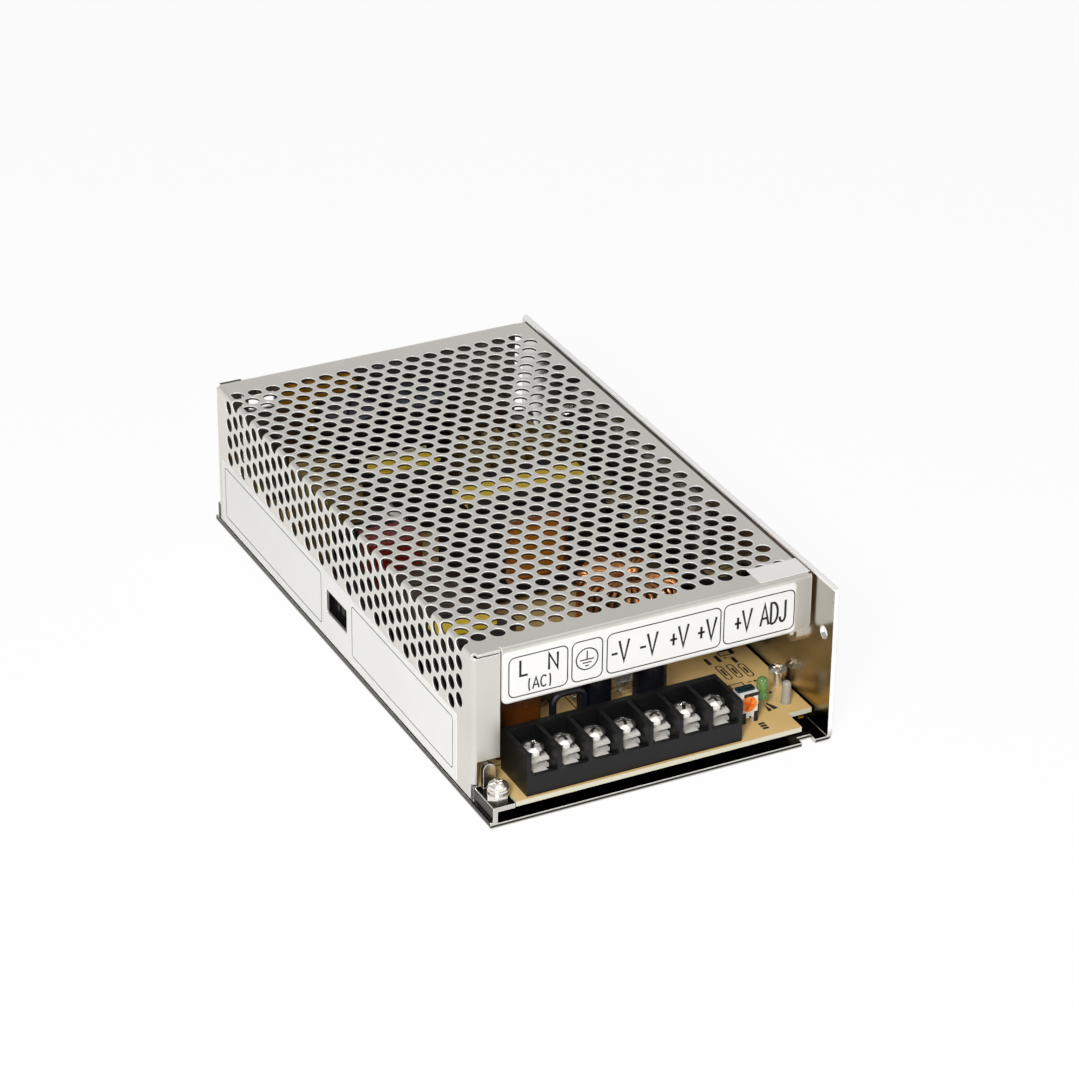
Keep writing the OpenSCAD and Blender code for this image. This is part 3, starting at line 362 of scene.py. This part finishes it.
# Outlines of three wire jumpers, with the bars of their neighbours behind them.
for x, y0, y1 in ((39.5, -66.9, -58.5), (42.8, -67.2, -59.1), (46.1, -68.1, -60.2)):
    outline(shape, on_board, x - 1.15, y0, x + 1.15, y1, 1.1, 0.42)
    inlay(shape, on_board, rounded(x - 0.35, y0 + 2.2, x + 0.35, y1 - 2.2, 0.3))
for x, y0, y1 in ((38.1, -57.1, -53.4), (41.7, -56.9, -53.1), (45.9, -59.3, -55.9)):
    inlay(shape, on_board, rounded(x - 0.6, y0, x + 0.6, y1, 0.3))
inlay(shape, on_board, rounded(46.6, -53.8, 47.8, -51.9, 0.2))
inlay(shape, on_board, rounded(43.0, -70.75, 44.6, -70.35, 0.1))
for x, y, r in ((45.5, -70.7, 0.55), (46.3, -78.4, 0.55), (43.9, -55.3, 0.4)):
    inlay(shape, on_board, rounded(x - r, y - r, x + r, y + r, r * 0.98))
# Two wedges beside the lamp and three bars in front of the trimmer.
inlay(shape, on_board, [(40.6, -87.5), (42.0, -87.2), (41.2, -83.2)])
inlay(shape, on_board, [(42.5, -87.1), (44.2, -86.7), (42.4, -82.9), (41.8, -83.1)])
for y in (-92.4, -93.7, -95.0):
    inlay(shape, on_board, rounded(34.4, y - 0.5, 36.4, y + 0.5, 0.15))
# Frames round the feet of the larger parts.
for x0, y0, x1, y1, r in ((37.0, -72.5, 41.7, -69.6, 0.2), (43.0, -54.2, 48.0, -51.6, 0.2),
                          (-44.5, -80, -22.5, -66.5, 0.3), (-15.8, -80.4, 15.8, -65.8, 0.3),
                          (18, -79.5, 34.5, -73.2, 0.3), (20.5, -70.5, 34, -64, 0.3),
                          (-9, -64, 13, -54, 0.3)):
    outline(shape, on_board, x0, y0, x1, y1, r, 0.4)
piece("board_print", shape, [black_ink], "case")

# Board hardware: nickel plated posts, pan head screws and washers that clamp the board, the earth screw
# with its nut on the ear, the cover screws and the clinched mounting nuts.
# Bright nickel: a clear mirror, only a little softened by handling.
bright_nickel = surface("bright_nickel_plate", "#f4f1ec", "#e4e0d8", 6, 0.14, 0.22, 0.6, 0.0004,
                        edge_mm=0.12, Metallic=0.95)
dress(bright_nickel, "board_posts", "board_screws", "board_washers", "earth_screw", "earth_washer",
      "earth_nut", "cover_screws", "mount_nuts", "lamp_leads", "fuse_clips", "spreader_screws")

# Board support: a straight pillar with a rounded tip that is snapped through the board near its front
# corner. Natural nylon, milky and a little translucent.
natural_nylon = surface("natural_nylon", "#aaa69d", "#98948a", 3, 0.32, 0.45, 0.8, 0.006,
                        IOR=1.53, Subsurface_Weight=0.15, Subsurface_Scale=0.002)
dress(natural_nylon, "board_support")


def circle(x, y, r, n=36):
    """Points round a circle, anticlockwise."""
    angles = [2 * math.pi * k / n for k in range(n)]
    return [(x + r * math.cos(a), y + r * math.sin(a)) for a in angles]


def turned(shape, x, y, profile, n=28):
    """A turned solid on an upright axis, from its radius and height at each step up its side."""
    rings = []
    for r, z in profile:
        rings.append([shape.verts.new(Vector((px, py, z)) * 0.001) for px, py in circle(x, y, r, n)])
    for a, b in zip(rings, rings[1:]):
        for k in range(n):
            shape.faces.new((a[k], a[(k + 1) % n], b[(k + 1) % n], b[k]))
    shape.faces.new(rings[0][::-1])
    shape.faces.new(rings[-1])


low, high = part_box("board_support")
pin_x, pin_y, tip = (low.x + high.x) * 500, (low.y + high.y) * 500, high.z * 1000
# The pin stands on the chassis, and its collar is caught just under the board.
foot, pin_r, collar_r, collar_z, dome = 1.6, 1.4, 2.7, 5.0, 1.3
profile = [(pin_r, foot), (pin_r, collar_z - 0.1), (collar_r, collar_z - 0.05), (collar_r, collar_z),
           (pin_r, collar_z), (pin_r, tip - dome)]
profile += [(pin_r * math.cos(a), tip - dome + dome * math.sin(a)) for a in (0.3, 0.6, 0.9, 1.2, 1.45)]
shape = bmesh.new()
turned(shape, pin_x, pin_y, profile)
support = piece("support_pin", shape, [natural_nylon], "case", smooth=True)
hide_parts("board_support")

# Terminal block: barriers and tray moulded in one from black flame retardant polyester, with a fine
# moulded skin. The contact plates, saddle clamps and screws are nickel plated.
black_polyester = surface("moulded_black_polyester", "#151516", "#0d0d0e", 9, 0.34, 0.48, 0.35, 0.006,
                          edge_mm=0.2, IOR=1.57, Specular_IOR_Level=0.22)
dress(black_polyester, "terminal_housing")
# Dull nickel on stamped brass: pale, with a wide soft shine.
nickel_brass = surface("nickel_plated_brass", "#fdfbf6", "#efece4", 5, 0.3, 0.42, 0.5, 0.004, Metallic=0.4)
dress(nickel_brass, "terminal_plates")
# Painted shade, with some oil, darkens the cross recess of each screw.
recess_shade = surface("screw_recess_shade", "#2b2723", "#171411", 1, 0.35, 0.5, 0.4, 0.004)
sunk, recess_h = 1.3, 0.75
for i in range(1, 8):
    dress(nickel_brass, f"terminal_clamp_{i}")
    dress(bright_nickel, f"terminal_screw_{i}")
    low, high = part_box(f"terminal_screw_{i}")
    head = (high.x - low.x) * 1000
    arm, half = 0.29 * head, 0.07 * head
    middle = ((low.x + high.x) * 500, (low.y + high.y) * 500, high.z * 1000 - sunk)
    # No two screws stop at the same angle.
    stop = math.radians(20 + 37 * i)
    along = Vector((math.cos(stop), math.sin(stop), 0))
    beside = Vector((-math.sin(stop), math.cos(stop), 0))
    shape = bmesh.new()
    for u, v in ((along, beside), (beside, -along)):
        inlay(shape, plane(middle, u, v), rounded(-arm, -half, arm, half, 0.2), depth=recess_h)
    piece(f"screw_recess_{i}", shape, [recess_shade], f"terminal_{i}")

# Trimmer: a small white moulded body with an orange slotted rotor in its face, a dark lid on its back
# and dark contact strips beside its middle tongue; it is soldered upright on the board.
# Moulded nylon has a soft, even shine; the rotor's orange is streaked with darker resin.
white_nylon = surface("moulded_white_nylon", "#f0efeb", "#e2e0da", 4, 0.3, 0.42, 0.5, 0.004)
dress(white_nylon, "trimmer_body")
orange_nylon = surface("moulded_orange_nylon", "#ff9a2e", "#d8560c", 1.2, 0.3, 0.42, 0.5, 0.006)
dress(orange_nylon, "trimmer_rotor")
# Cast resin, dark and glossy.
teal_resin = surface("dark_teal_resin", "#123640", "#060b10", 2, 0.12, 0.22, 0.6, 0.006)
low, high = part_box("trimmer_body")
left, right, front, rear, foot, top = (v * 1000 for v in (low.x, high.x, low.y, high.y, low.z, high.z))
shape = bmesh.new()
lid = plane((0, 0, top), (1, 0, 0), (0, 1, 0))
inlay(shape, lid, rounded(left + 0.5, front + 1.2, right - 0.4, rear, 0.6), depth=0.5)
inlay(shape, lid, rounded(left + 1.5, front + 1.9, right - 1.4, rear - 0.7, 0.6), depth=0.9)
piece("trimmer_lid", shape, [teal_resin], "case")
strip_h, strip_t = 3.6, 0.06
shape = bmesh.new()
face = plane((0, front, 0), (1, 0, 0), (0, 0, 1))
middle = (left + right) / 2
inlay(shape, face, rounded(left + 0.1, foot + 0.1, middle - 0.7, foot + strip_h, 0.25), depth=strip_t)
inlay(shape, face, rounded(middle + 1.9, foot + 0.1, right - 0.1, foot + strip_h, 0.25), depth=strip_t)
inlay(shape, face, rounded(middle + 0.3, foot + 1.7, middle + 1.0, foot + 2.4, 0.33), depth=strip_t)
side = plane((right, 0, 0), (0, 1, 0), (0, 0, 1))
inlay(shape, side, rounded(front + 0.2, foot + 2.4, front + 2.6, foot + 5.6, 0.4), depth=0.25)
inlay(shape, face, rounded(left + 1.7, top - 1.2, right - 0.05, top - 0.05, 0.3), depth=0.08)
piece("trimmer_pads", shape, [black_ink], "case")

# Lamp: a small round-topped light, cast in green resin round its two wire legs and soldered upright. The
# resin is clear at the rim and milky inside, so that the light of the room glows in it.
green_resin = surface("cast_green_resin", "#a6d88f", "#80bd72", 2, 0.08, 0.15, 1, 0.002,
                      Transmission_Weight=0.75, IOR=1.5, Subsurface_Weight=0.15, Subsurface_Scale=0.002)
dress(green_resin, "lamp")

# Voltage selector: a slide switch on the board, in a black moulded nylon case, satin all over. Its slider
# runs in the slot of a bezel, just behind the flank's window. The black bezel blocks the view through the
# window, standing in for the shade inside the case.
black_nylon = surface("moulded_black_nylon", "#161617", "#0e0e0f", 7, 0.35, 0.5, 0.4, 0.006,
                      Specular_IOR_Level=0.25)
dress(black_nylon, "selector_body", "selector_slider")
low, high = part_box("selector_body")
thumb_low, thumb_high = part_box("selector_slider")
room, travel = 0.5, 4.5
bezel = plane((low.x * 1000, 0, 0), (0, -1, 0), (0, 0, 1))
opening = rounded(-thumb_high.y * 1000 - room, thumb_low.z * 1000 - room,
                  -thumb_low.y * 1000 + travel + room, thumb_high.z * 1000 + room, 0.2)
shape = bmesh.new()
inlay(shape, bezel, rounded(-25, 8.6, 11, 23.4, 0.5), opening, depth=1.1)
piece("selector_bezel", shape, [black_nylon], "case")

# Transformers and line choke: sintered ferrite frames, matt and nearly black, round coils bound in yellow
# polyester tape that laps over the frame. A bar of ferrite lies on the large frame, in front of the tape.
ferrite = surface("sintered_ferrite", "#1b1b1d", "#111112", 8, 0.5, 0.68, 0.5, 0.01, Specular_IOR_Level=0.3)
dress(ferrite, "transformer_core", "driver_core", "line_choke_core")
core_low, core_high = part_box("transformer_core")
core_top = plane((0, 0, core_high.z * 1000), (1, 0, 0), (0, 1, 0))
shape = bmesh.new()
inlay(shape, core_top, rounded(-9.8, 4.6, 31.8, 8.8, 0.4), depth=2.25)
piece("core_bar", shape, [ferrite], "case")
# Polyester tape: glossy, with long soft wrinkles from the winding.
yellow_tape = surface("yellow_polyester_tape", "#ffe04a", "#f6cd30", 14, 0.25, 0.36, 2.5, 0.02,
                      stretch=(0.3, 0.3, 1))
dress(yellow_tape, "transformer_winding", "driver_winding", "line_choke_winding")

# Transformer faces: the coil bulges a little from the front and the rear of the core, bound in amber
# tape, and a bare copper screen shows as a bright hoop round it.
# The tape is a clear deep amber, and the foil a pale warm metal.
amber_tape = surface("amber_polyimide_tape", "#c8842a", "#a3621a", 12, 0.25, 0.35, 2, 0.02,
                     stretch=(0.3, 1, 1))
bare_copper = surface("bare_copper_foil", "#ecc4ae", "#d3a48c", 5, 0.25, 0.35, 1, 0.01, Metallic=1.0)
coil_foot, coil_top, hoop = 15, 37, 1.3
shape = bmesh.new()
for y, way in ((core_low.y, 1), (core_high.y, -1)):
    face = plane((0, y * 1000, 0), (way, 0, 0), (0, 0, 1))
    x0, x1 = sorted((way * -2.5, way * 18.5))
    outline(shape, face, x0, coil_foot, x1, coil_top, 3, hoop, depth=1.6, index=1)
    for inset, depth in ((hoop, 1.2), (2.2, 2.4), (4, 3.2)):
        bulge = rounded(x0 + inset, coil_foot + inset, x1 - inset, coil_top - inset, 3)
        inlay(shape, face, bulge, depth=depth)
faces = piece("transformer_faces", shape, [amber_tape, bare_copper], "case")
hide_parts("transformer_band")

# Capacitors: aluminium cans in dark shrink sleeve, with a bare scored top that is pressed in under the
# rolled rim; a brown and a red film capacitor dipped in resin.
dark_sleeve = surface("dark_shrink_sleeve", "#14151c", "#0c0d12", 16, 0.25, 0.36, 1.5, 0.006,
                      Specular_IOR_Level=0.3)
dress(dark_sleeve, "bulk_capacitors", "output_capacitors", "filter_capacitors")
# Rolled aluminium sheet, satin and a little blue under the dark sleeve's rim. Olive sleeve laps over the
# ends of the smaller cans.
can_top = surface("rolled_aluminium_can", "#8d97a8", "#768092", 10, 0.35, 0.5, 0.5, 0.004,
                  stretch=(1, 0.05, 1), Metallic=1.0)
# The scores are dark lines of painted shade.
score_shadow = surface("pressed_score", "#3a3f48", "#2b2f36", 4, 0.5, 0.6, 0.5, 0.004, Metallic=1.0)
olive_end = surface("olive_sleeve_end", "#a8935a", "#86723e", 5, 0.4, 0.5, 0.6, 0.006)
bulk = [(x, 80.7, 22, 40.6) for x in (-16.5, 6.5)]
filters = [(x, -73, 10, 26.6) for x in (-9, 9)]
outputs = [(x, y, 12, 31.6) for x, y in ((46.4, -46), (40.2, -6.5), (39.6, 6.5), (39.6, 19.5))]
shape = bmesh.new()
for can in bulk + filters + outputs:
    x, y, d, top = can
    disc = plane((x, y, top - 0.5), (1, 0, 0), (0, 1, 0))
    rim, clear = 0.09 * d, 0.05
    r = d / 2 - rim - clear
    inlay(shape, disc, circle(0, 0, r), depth=0.12, index=0 if can in bulk else 2)
    for angle in (0, math.pi / 3, 2 * math.pi / 3):
        along = Vector((math.cos(angle), math.sin(angle)))
        wide = Vector((-math.sin(angle), math.cos(angle)))
        ends = [along * (s * 0.78 * r) + wide * (t * 0.018 * d)
                for s, t in ((-1, -1), (1, -1), (1, 1), (-1, 1))]
        inlay(shape, disc, ends, depth=0.15, index=1)
piece("capacitor_tops", shape, [can_top, score_shadow, olive_end], "case")
# Dipped resin: thick and glossy, with an uneven skin.
brown_resin = surface("dipped_brown_resin", "#5c3210", "#482408", 6, 0.16, 0.28, 2, 0.03)
dress(brown_resin, "line_capacitor")
red_resin = surface("dipped_red_resin", "#8a2a20", "#701d16", 6, 0.2, 0.3, 2, 0.03)
dress(red_resin, "red_capacitor")

# Small parts: rectifier and transistors moulded in black epoxy, a green coated disc that limits the
# current when the supply is switched on, and a glass fuse in two clips.
# Epoxy is matt, the coating satin with a pebbled skin, and the tube clear drawn glass.
black_epoxy = surface("moulded_black_epoxy", "#18181a", "#101011", 6, 0.45, 0.6, 0.3, 0.006,
                      Specular_IOR_Level=0.3)
dress(black_epoxy, "bridge_rectifier", "power_transistors")
green_coat = surface("green_disc_coating", "#2a3f2d", "#1c2e20", 4, 0.3, 0.45, 1, 0.02)
dress(green_coat, "thermal_resistor")
clear_glass = surface("drawn_glass_tube", "#eef2f2", "#e6ecec", 8, 0.02, 0.05, 2, 0.001,
                      Transmission_Weight=0.9, IOR=1.5)
dress(clear_glass, "fuse_tube")


# Output choke: thick enamelled copper wound turn by turn round a coated powder ring, and stood flat on
# the board. The turns leave a gap where the wire's two ends go down.
def tube(shape, points, r, closed=False, n=8):
    """A round wire of that radius along points in millimetres."""
    points = [Vector(p) for p in points]
    count = len(points)
    rings = []
    side = None
    for i, p in enumerate(points):
        before = points[i - 1] if i or closed else p
        after = points[(i + 1) % count] if i < count - 1 or closed else p
        along = (after - before).normalized()
        side = side or along.orthogonal()
        side = (side - along * side.dot(along)).normalized()
        out = along.cross(side)
        rings.append([shape.verts.new((p + (side * math.cos(a) + out * math.sin(a)) * r) * 0.001)
                      for a in (2 * math.pi * k / n for k in range(n))])
    for i in range(count if closed else count - 1):
        a, b = rings[i], rings[(i + 1) % count]
        for k in range(n):
            shape.faces.new((a[k], a[(k + 1) % n], b[(k + 1) % n], b[k]))
    if not closed:
        shape.faces.new(rings[0][::-1])
        shape.faces.new(rings[-1])


# Enamelled copper: a warm metal with a bright line along each turn.
copper_enamel = surface("enamelled_copper", "#eeb078", "#cf8548", 3, 0.34, 0.45, 1, 0.01, Metallic=1.0)
low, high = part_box("output_choke_winding")
mid_y, mid_z = (low.y + high.y) * 500, (low.z + high.z) * 500
ring_r = 14
mid_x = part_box("output_choke_core")[0].x * 1000 + ring_r
wire_r, turns, first, sweep = 0.66, 34, 30, 300
# The middle of a turn from the ring's axis, and half its width and height.
reach, half_w, half_h = 9.5, 5.6, 9.6
shape = bmesh.new()
for k in range(turns):
    a = math.radians(first + sweep * k / (turns - 1))
    out = Vector((math.cos(a), math.sin(a), 0))
    # Each turn leans a little, as it steps on to the next.
    loop = []
    for u, v in rounded(reach - half_w, -half_h, reach + half_w, half_h, 2.4, corner=4):
        lean = Vector((-math.sin(a), math.cos(a), 0)) * (0.5 * v / half_h)
        loop.append(Vector((mid_x, mid_y, mid_z)) + out * u + Vector((0, 0, v)) + lean * (u / reach))
    tube(shape, loop, wire_r, closed=True)
choke_turns = piece("choke_turns", shape, [copper_enamel], "case", smooth=True)
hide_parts("output_choke_winding")
# The ring is coated in dull olive paint.
ring_coat = surface("ring_coating", "#3d3b1c", "#2d2b13", 6, 0.4, 0.55, 0.8, 0.01)
dress(ring_coat, "output_choke_core")

# Heat spreader: an extruded aluminium bar, screwed to the wall behind the transistors. It is left bare, a
# satin metal with lines along its length.
bare_aluminium = surface("extruded_aluminium", "#d2cec5", "#b9b4a9", 15, 0.3, 0.42, 0.4, 0.004,
                         stretch=(1, 0.03, 1), Metallic=1.0)
dress(bare_aluminium, "heat_spreader")

# Jumper: a short arch of wire beside the line capacitor, soldered into the board at both ends. Its dark
# insulation has a soft shine.
dark_insulation = surface("dark_wire_insulation", "#14161f", "#0d0e15", 5, 0.3, 0.42, 1, 0.01)
dress(dark_insulation, "jumper_wire")

# Heat sinks and small parts that fill the board behind and beside the transformer: finned bars in yellow
# chromate, brown sleeved capacitors and dark moulded blocks, all soldered upright.
# Yellow chromate gives a dull brass sheen, and old shrink sleeve a brown gloss.
yellow_chromate = surface("yellow_chromate_plate", "#bfa565", "#8d7238", 6, 0.34, 0.48, 0.5, 0.004,
                          Metallic=0.6)
brown_sleeve = surface("brown_shrink_sleeve", "#4a3820", "#2a1f11", 7, 0.3, 0.42, 1.5, 0.006)
fin, left_h, rear_h = 1.3, 30, 29
shape = bmesh.new()
inlay(shape, on_board, rounded(-43.5, 37, -40.5, 66, 0.4), depth=left_h)
for y in range(38, 66, 4):
    inlay(shape, on_board, rounded(-40.6, y, -31, y + fin, 0.3), depth=left_h)
inlay(shape, on_board, rounded(9, 45, 44.5, 48, 0.4), depth=rear_h)
for x in range(10, 44, 4):
    inlay(shape, on_board, rounded(x, 36, x + fin, 45.1, 0.3), depth=rear_h)
    inlay(shape, on_board, rounded(x, 47.9, x + fin, 57, 0.3), depth=rear_h)
piece("heat_sinks", shape, [yellow_chromate], "case")
# Capacitors with a rolled rim, then blocks with a raised lid; their dark brown fills the board as painted
# shade inside the case.
rim_h = 0.5
shape = bmesh.new()
for x, y, r, h in ((31, 79.5, 8, 27), (43.5, 80, 4, 18), (-19, -21, 4, 16), (-18.5, -33, 4, 16),
                   (-25, 45, 4, 16), (-25, 56, 4, 16), (13, 64.5, 4, 15), (24, 64, 4, 15)):
    inlay(shape, on_board, circle(x, y, r), depth=h)
    rim = plane((x, y, board_z + h), (1, 0, 0), (0, 1, 0))
    inlay(shape, rim, circle(0, 0, r), circle(0, 0, 0.86 * r), depth=rim_h)
for x0, y0, x1, y1, h in ((-47, -36, -25, -14, 22), (-41.5, -10, -27, 3, 20), (-22, -8, -15, 12, 12),
                          (-37, 85, -28.6, 91.5, 33)):
    inlay(shape, on_board, rounded(x0, y0, x1, y1, 1.5), depth=h)
    raised = plane((0, 0, board_z + h), (1, 0, 0), (0, 1, 0))
    inlay(shape, raised, rounded(x0 + 1, y0 + 1, x1 - 1, y1 - 1, 1.5), depth=rim_h)
piece("dark_parts", shape, [brown_sleeve], "case")

# Insulating sleeves: a white wire that loops from the rectifier to the red capacitor, and a cream card
# between the driver transformer and the bulk capacitors. The silicone is satin and the card matt.
white_sleeve = surface("white_silicone_sleeve", "#dcdad4", "#cfccc4", 5, 0.4, 0.5, 1, 0.01)
cream_card = surface("cream_pressboard", "#d9cfae", "#cbbf99", 8, 0.5, 0.65, 0.5, 0.006)
shape = bmesh.new()
tube(shape, [(-21.5, 36, board_z), (-21.8, 35.7, 18), (-23.5, 34.4, 29), (-26, 31, 32.5), (-27.5, 27, 33),
             (-26, 22.6, 32), (-23.3, 21.2, 28), (-22.6, 21, 18), (-22.5, 21, board_z)], 1.2, n=10)
piece("white_wire", shape, [white_sleeve], "case", smooth=True)
shape = bmesh.new()
inlay(shape, on_board, rounded(-19, 67.1, 4, 68, 0.3), depth=22)
piece("insulating_card", shape, [cream_card], "case")

# Cover: one thinner steel sheet, punched all over with rows of round holes, folded at the front, the left
# and the rear, and dull zinc plated. Satin, with faint mill lines and soft clouds in the plating.
# Its eased edges are painted white, as a highlight.
satin_zinc = surface("satin_zinc_plate", "#e2dfd8", "#d6d3cb", 18, 0.3, 0.42, 0.6, 0.002,
                     stretch=(1, 0.03, 1), edge_mm=0.45, worn_highlight="#ffffff")
spot, facing = places(satin_zinc)
tree = satin_zinc.node_tree
slant = add(tree, "ShaderNodeMath", {0: facing[2], 1: facing[0]}, operation="SUBTRACT").outputs[0]
slant = add(tree, "ShaderNodeMath", {0: slant, 1: math.sqrt(0.5)}, operation="MULTIPLY").outputs[0]
# How far a point is from the axis that the corner is folded round.
fold_axis = (-0.05348, 0, 0.04848)
section = add(tree, "ShaderNodeCombineXYZ", {0: spot[0], 2: spot[2]}).outputs[0]
reach = add(tree, "ShaderNodeVectorMath", {0: section, 1: fold_axis}, operation="DISTANCE").outputs["Value"]


def past(value, limit, way, soft=0.00001):
    """A test that begins at the limit and is full just past it, upwards or downwards as way is 1 or -1."""
    return value, limit, limit + way * soft


# At the mouth of each hole, in the top, the flank and the bend between them, a near-white band is painted
# as a highlight on the punch's burnished band, and below it a dark band of painted shade. The walls of the
# holes are what stands steep to the sheet.
top, flank, fold_r, band, soft = 0.04988, -0.05488, 0.0014, 0.00027, 0.00002
rows = ((spot[1], -0.0867, -0.0866), (spot[1], 0.095, 0.0949))
for across, mouth, within in (
        (facing[2], past(spot[2], top - band, 1, soft),
         (past(spot[2], 0.0489, 1), past(spot[0], -0.05341, 1), past(spot[0], 0.0523, -1))),
        (facing[0], past(spot[0], flank + band, -1, soft),
         (past(spot[0], -0.0539, -1), past(spot[2], 0.024, 1), past(spot[2], 0.0484, -1))),
        (slant, past(reach, fold_r - band, 1, soft),
         (past(spot[0], -0.0534, -1), past(spot[2], 0.0484, 1)))):
    steep = add(tree, "ShaderNodeMath", {0: across}, operation="ABSOLUTE").outputs[0]
    wall = ((steep, 0.51, 0.49),) + within + rows
    patch(satin_zinc, "#2e2b27", 0.3, wall)
    patch(satin_zinc, "#fbfaf7", 0.3, wall + (mouth,))
# Painted shadow lies along the sheet's edge beside the wall, and at the end of the rear fold.
upward = (facing[2], 0.8, 0.9)
patch(satin_zinc, "#2a2823", 0.5, (upward, (spot[0], 0.0518, 0.0519), past(spot[2], 0.0489, 1)))
patch(satin_zinc, "#2a2823", 0.5, (upward, (spot[1], 0.0953, 0.0955), (spot[0], -0.0434, -0.0436)))
dress(satin_zinc, "cover")

# Labels: white printed film stuck on the front lip and along the flank, and a small seal across the
# cover's edge, smooth with a faint sheen. The terminals' marks and their frames are printed in black.
white_film = surface("white_label_film", "#ecebe8", "#e3e2df", 20, 0.34, 0.46, 0.8, 0.002,
                     Specular_IOR_Level=0.3)
dress(white_film, "terminal_label", "side_label", "seal_sticker")
ink_h = 0.01


def stroke(shape, place, points, line):
    """A printed line of that width along the points, with mitred corners."""
    points = [Vector(p) for p in points]
    left, right = [], []
    for i, p in enumerate(points):
        ways = []
        if i:
            ways.append((p - points[i - 1]).normalized())
        if i < len(points) - 1:
            ways.append((points[i + 1] - p).normalized())
        along = sum(ways, Vector((0, 0))).normalized()
        across = Vector((-along.y, along.x))
        reach = line / 2 / max(0.35, across.dot(Vector((-ways[0].y, ways[0].x))))
        left.append(p + across * reach)
        right.append(p - across * reach)
    inlay(shape, place, right + left[::-1], depth=ink_h)


def arc(x, y, rx, ry, start, end, n=10):
    """Points along part of an ellipse, between two angles in degrees."""
    angles = [math.radians(start + (end - start) * k / n) for k in range(n + 1)]
    return [(x + rx * math.cos(a), y + ry * math.sin(a)) for a in angles]


marks = {"L": [[(0, 1), (0, 0), (1, 0)]], "N": [[(0, 0), (0, 1), (1, 0), (1, 1)]],
         "V": [[(0, 1), (0.5, 0), (1, 1)]], "-": [[(0, 0.42), (1, 0.42)]],
         "+": [[(0, 0.42), (1, 0.42)], [(0.5, 0.14), (0.5, 0.7)]],
         "A": [[(0, 0), (0.5, 1), (1, 0)], [(0.2, 0.34), (0.8, 0.34)]],
         "C": [arc(0.55, 0.5, 0.55, 0.5, 45, 315)], "(": [arc(1, 0.45, 1, 0.7, 130, 230)],
         ")": [arc(0, 0.45, 1, 0.7, -50, 50)],
         "D": [[(0, 0), (0, 1), (0.3, 1)] + arc(0.3, 0.5, 0.7, 0.5, 80, -80) + [(0.3, 0), (0, 0)]],
         "J": [[(1, 1)] + arc(0.5, 0.26, 0.5, 0.26, 0, -180)]}
lip = plane((0, -88.32, 0), (1, 0, 0), (0, 0, 1))
shape = bmesh.new()
for x0, x1 in ((-44, -25.4), (-24.4, -14.5), (-13.4, 23.2), (23.9, 47.2)):
    outline(shape, lip, x0, 33.3, x1, 46.4, 2, 0.36, depth=ink_h)
for z0, z1, line, letters in (
        (39.9, 44.9, 0.72, (("L", -40.3, -38),)),
        (39.8, 44.9, 0.72, (("N", -31.4, -28.7),)),
        (34.8, 38.6, 0.48, (("(", -37.6, -36.9), (")", -31.6, -30.9))),
        (34.8, 38.4, 0.48, (("A", -36.4, -34.4), ("C", -33.9, -32.1))),
        (36.6, 43.4, 0.75, (("-", -11.8, -9.9), ("V", -9.4, -6.3), ("-", -2.8, -0.9), ("V", -0.4, 2.7),
                            ("+", 6.8, 9.0), ("V", 9.5, 12.6), ("+", 15.7, 17.9), ("V", 18.5, 21.6),
                            ("+", 27.6, 29.7), ("V", 30.1, 33.1), ("A", 36.0, 38.7), ("D", 39.4, 41.6),
                            ("J", 42.3, 44.1)))):
    for mark, x0, x1 in letters:
        for points in marks[mark]:
            stroke(shape, lip, [(x0 + (x1 - x0) * u, z0 + (z1 - z0) * v) for u, v in points], line)
# The earth sign in its ring.
earth_x, earth_z, earth_line = -19.5, 40.2, 0.4
inlay(shape, lip, circle(earth_x, earth_z, 3.6), circle(earth_x, earth_z, 3.2), depth=ink_h)
stroke(shape, lip, [(earth_x, 42.8), (earth_x, 40)], earth_line)
for half, z in ((2.2, 40), (1.4, 39), (0.6, 38)):
    stroke(shape, lip, [(earth_x - half, z), (earth_x + half, z)], earth_line)
piece("terminal_marks", shape, [black_ink], "case")
side = plane((-55, 0, 0), (0, -1, 0), (0, 0, 1))
shape = bmesh.new()
for x0, z0, x1 in ((-90.4, 6, -15.7), (6.4, 6.4, 75.7)):
    outline(shape, side, x0, z0, x1, 23.7, 1.2, 0.3, depth=0.004)
piece("side_frames", shape, [black_ink], "case")

size = {"cad": [list(v) for v in cad_box], "visual": [list(v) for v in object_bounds()]}
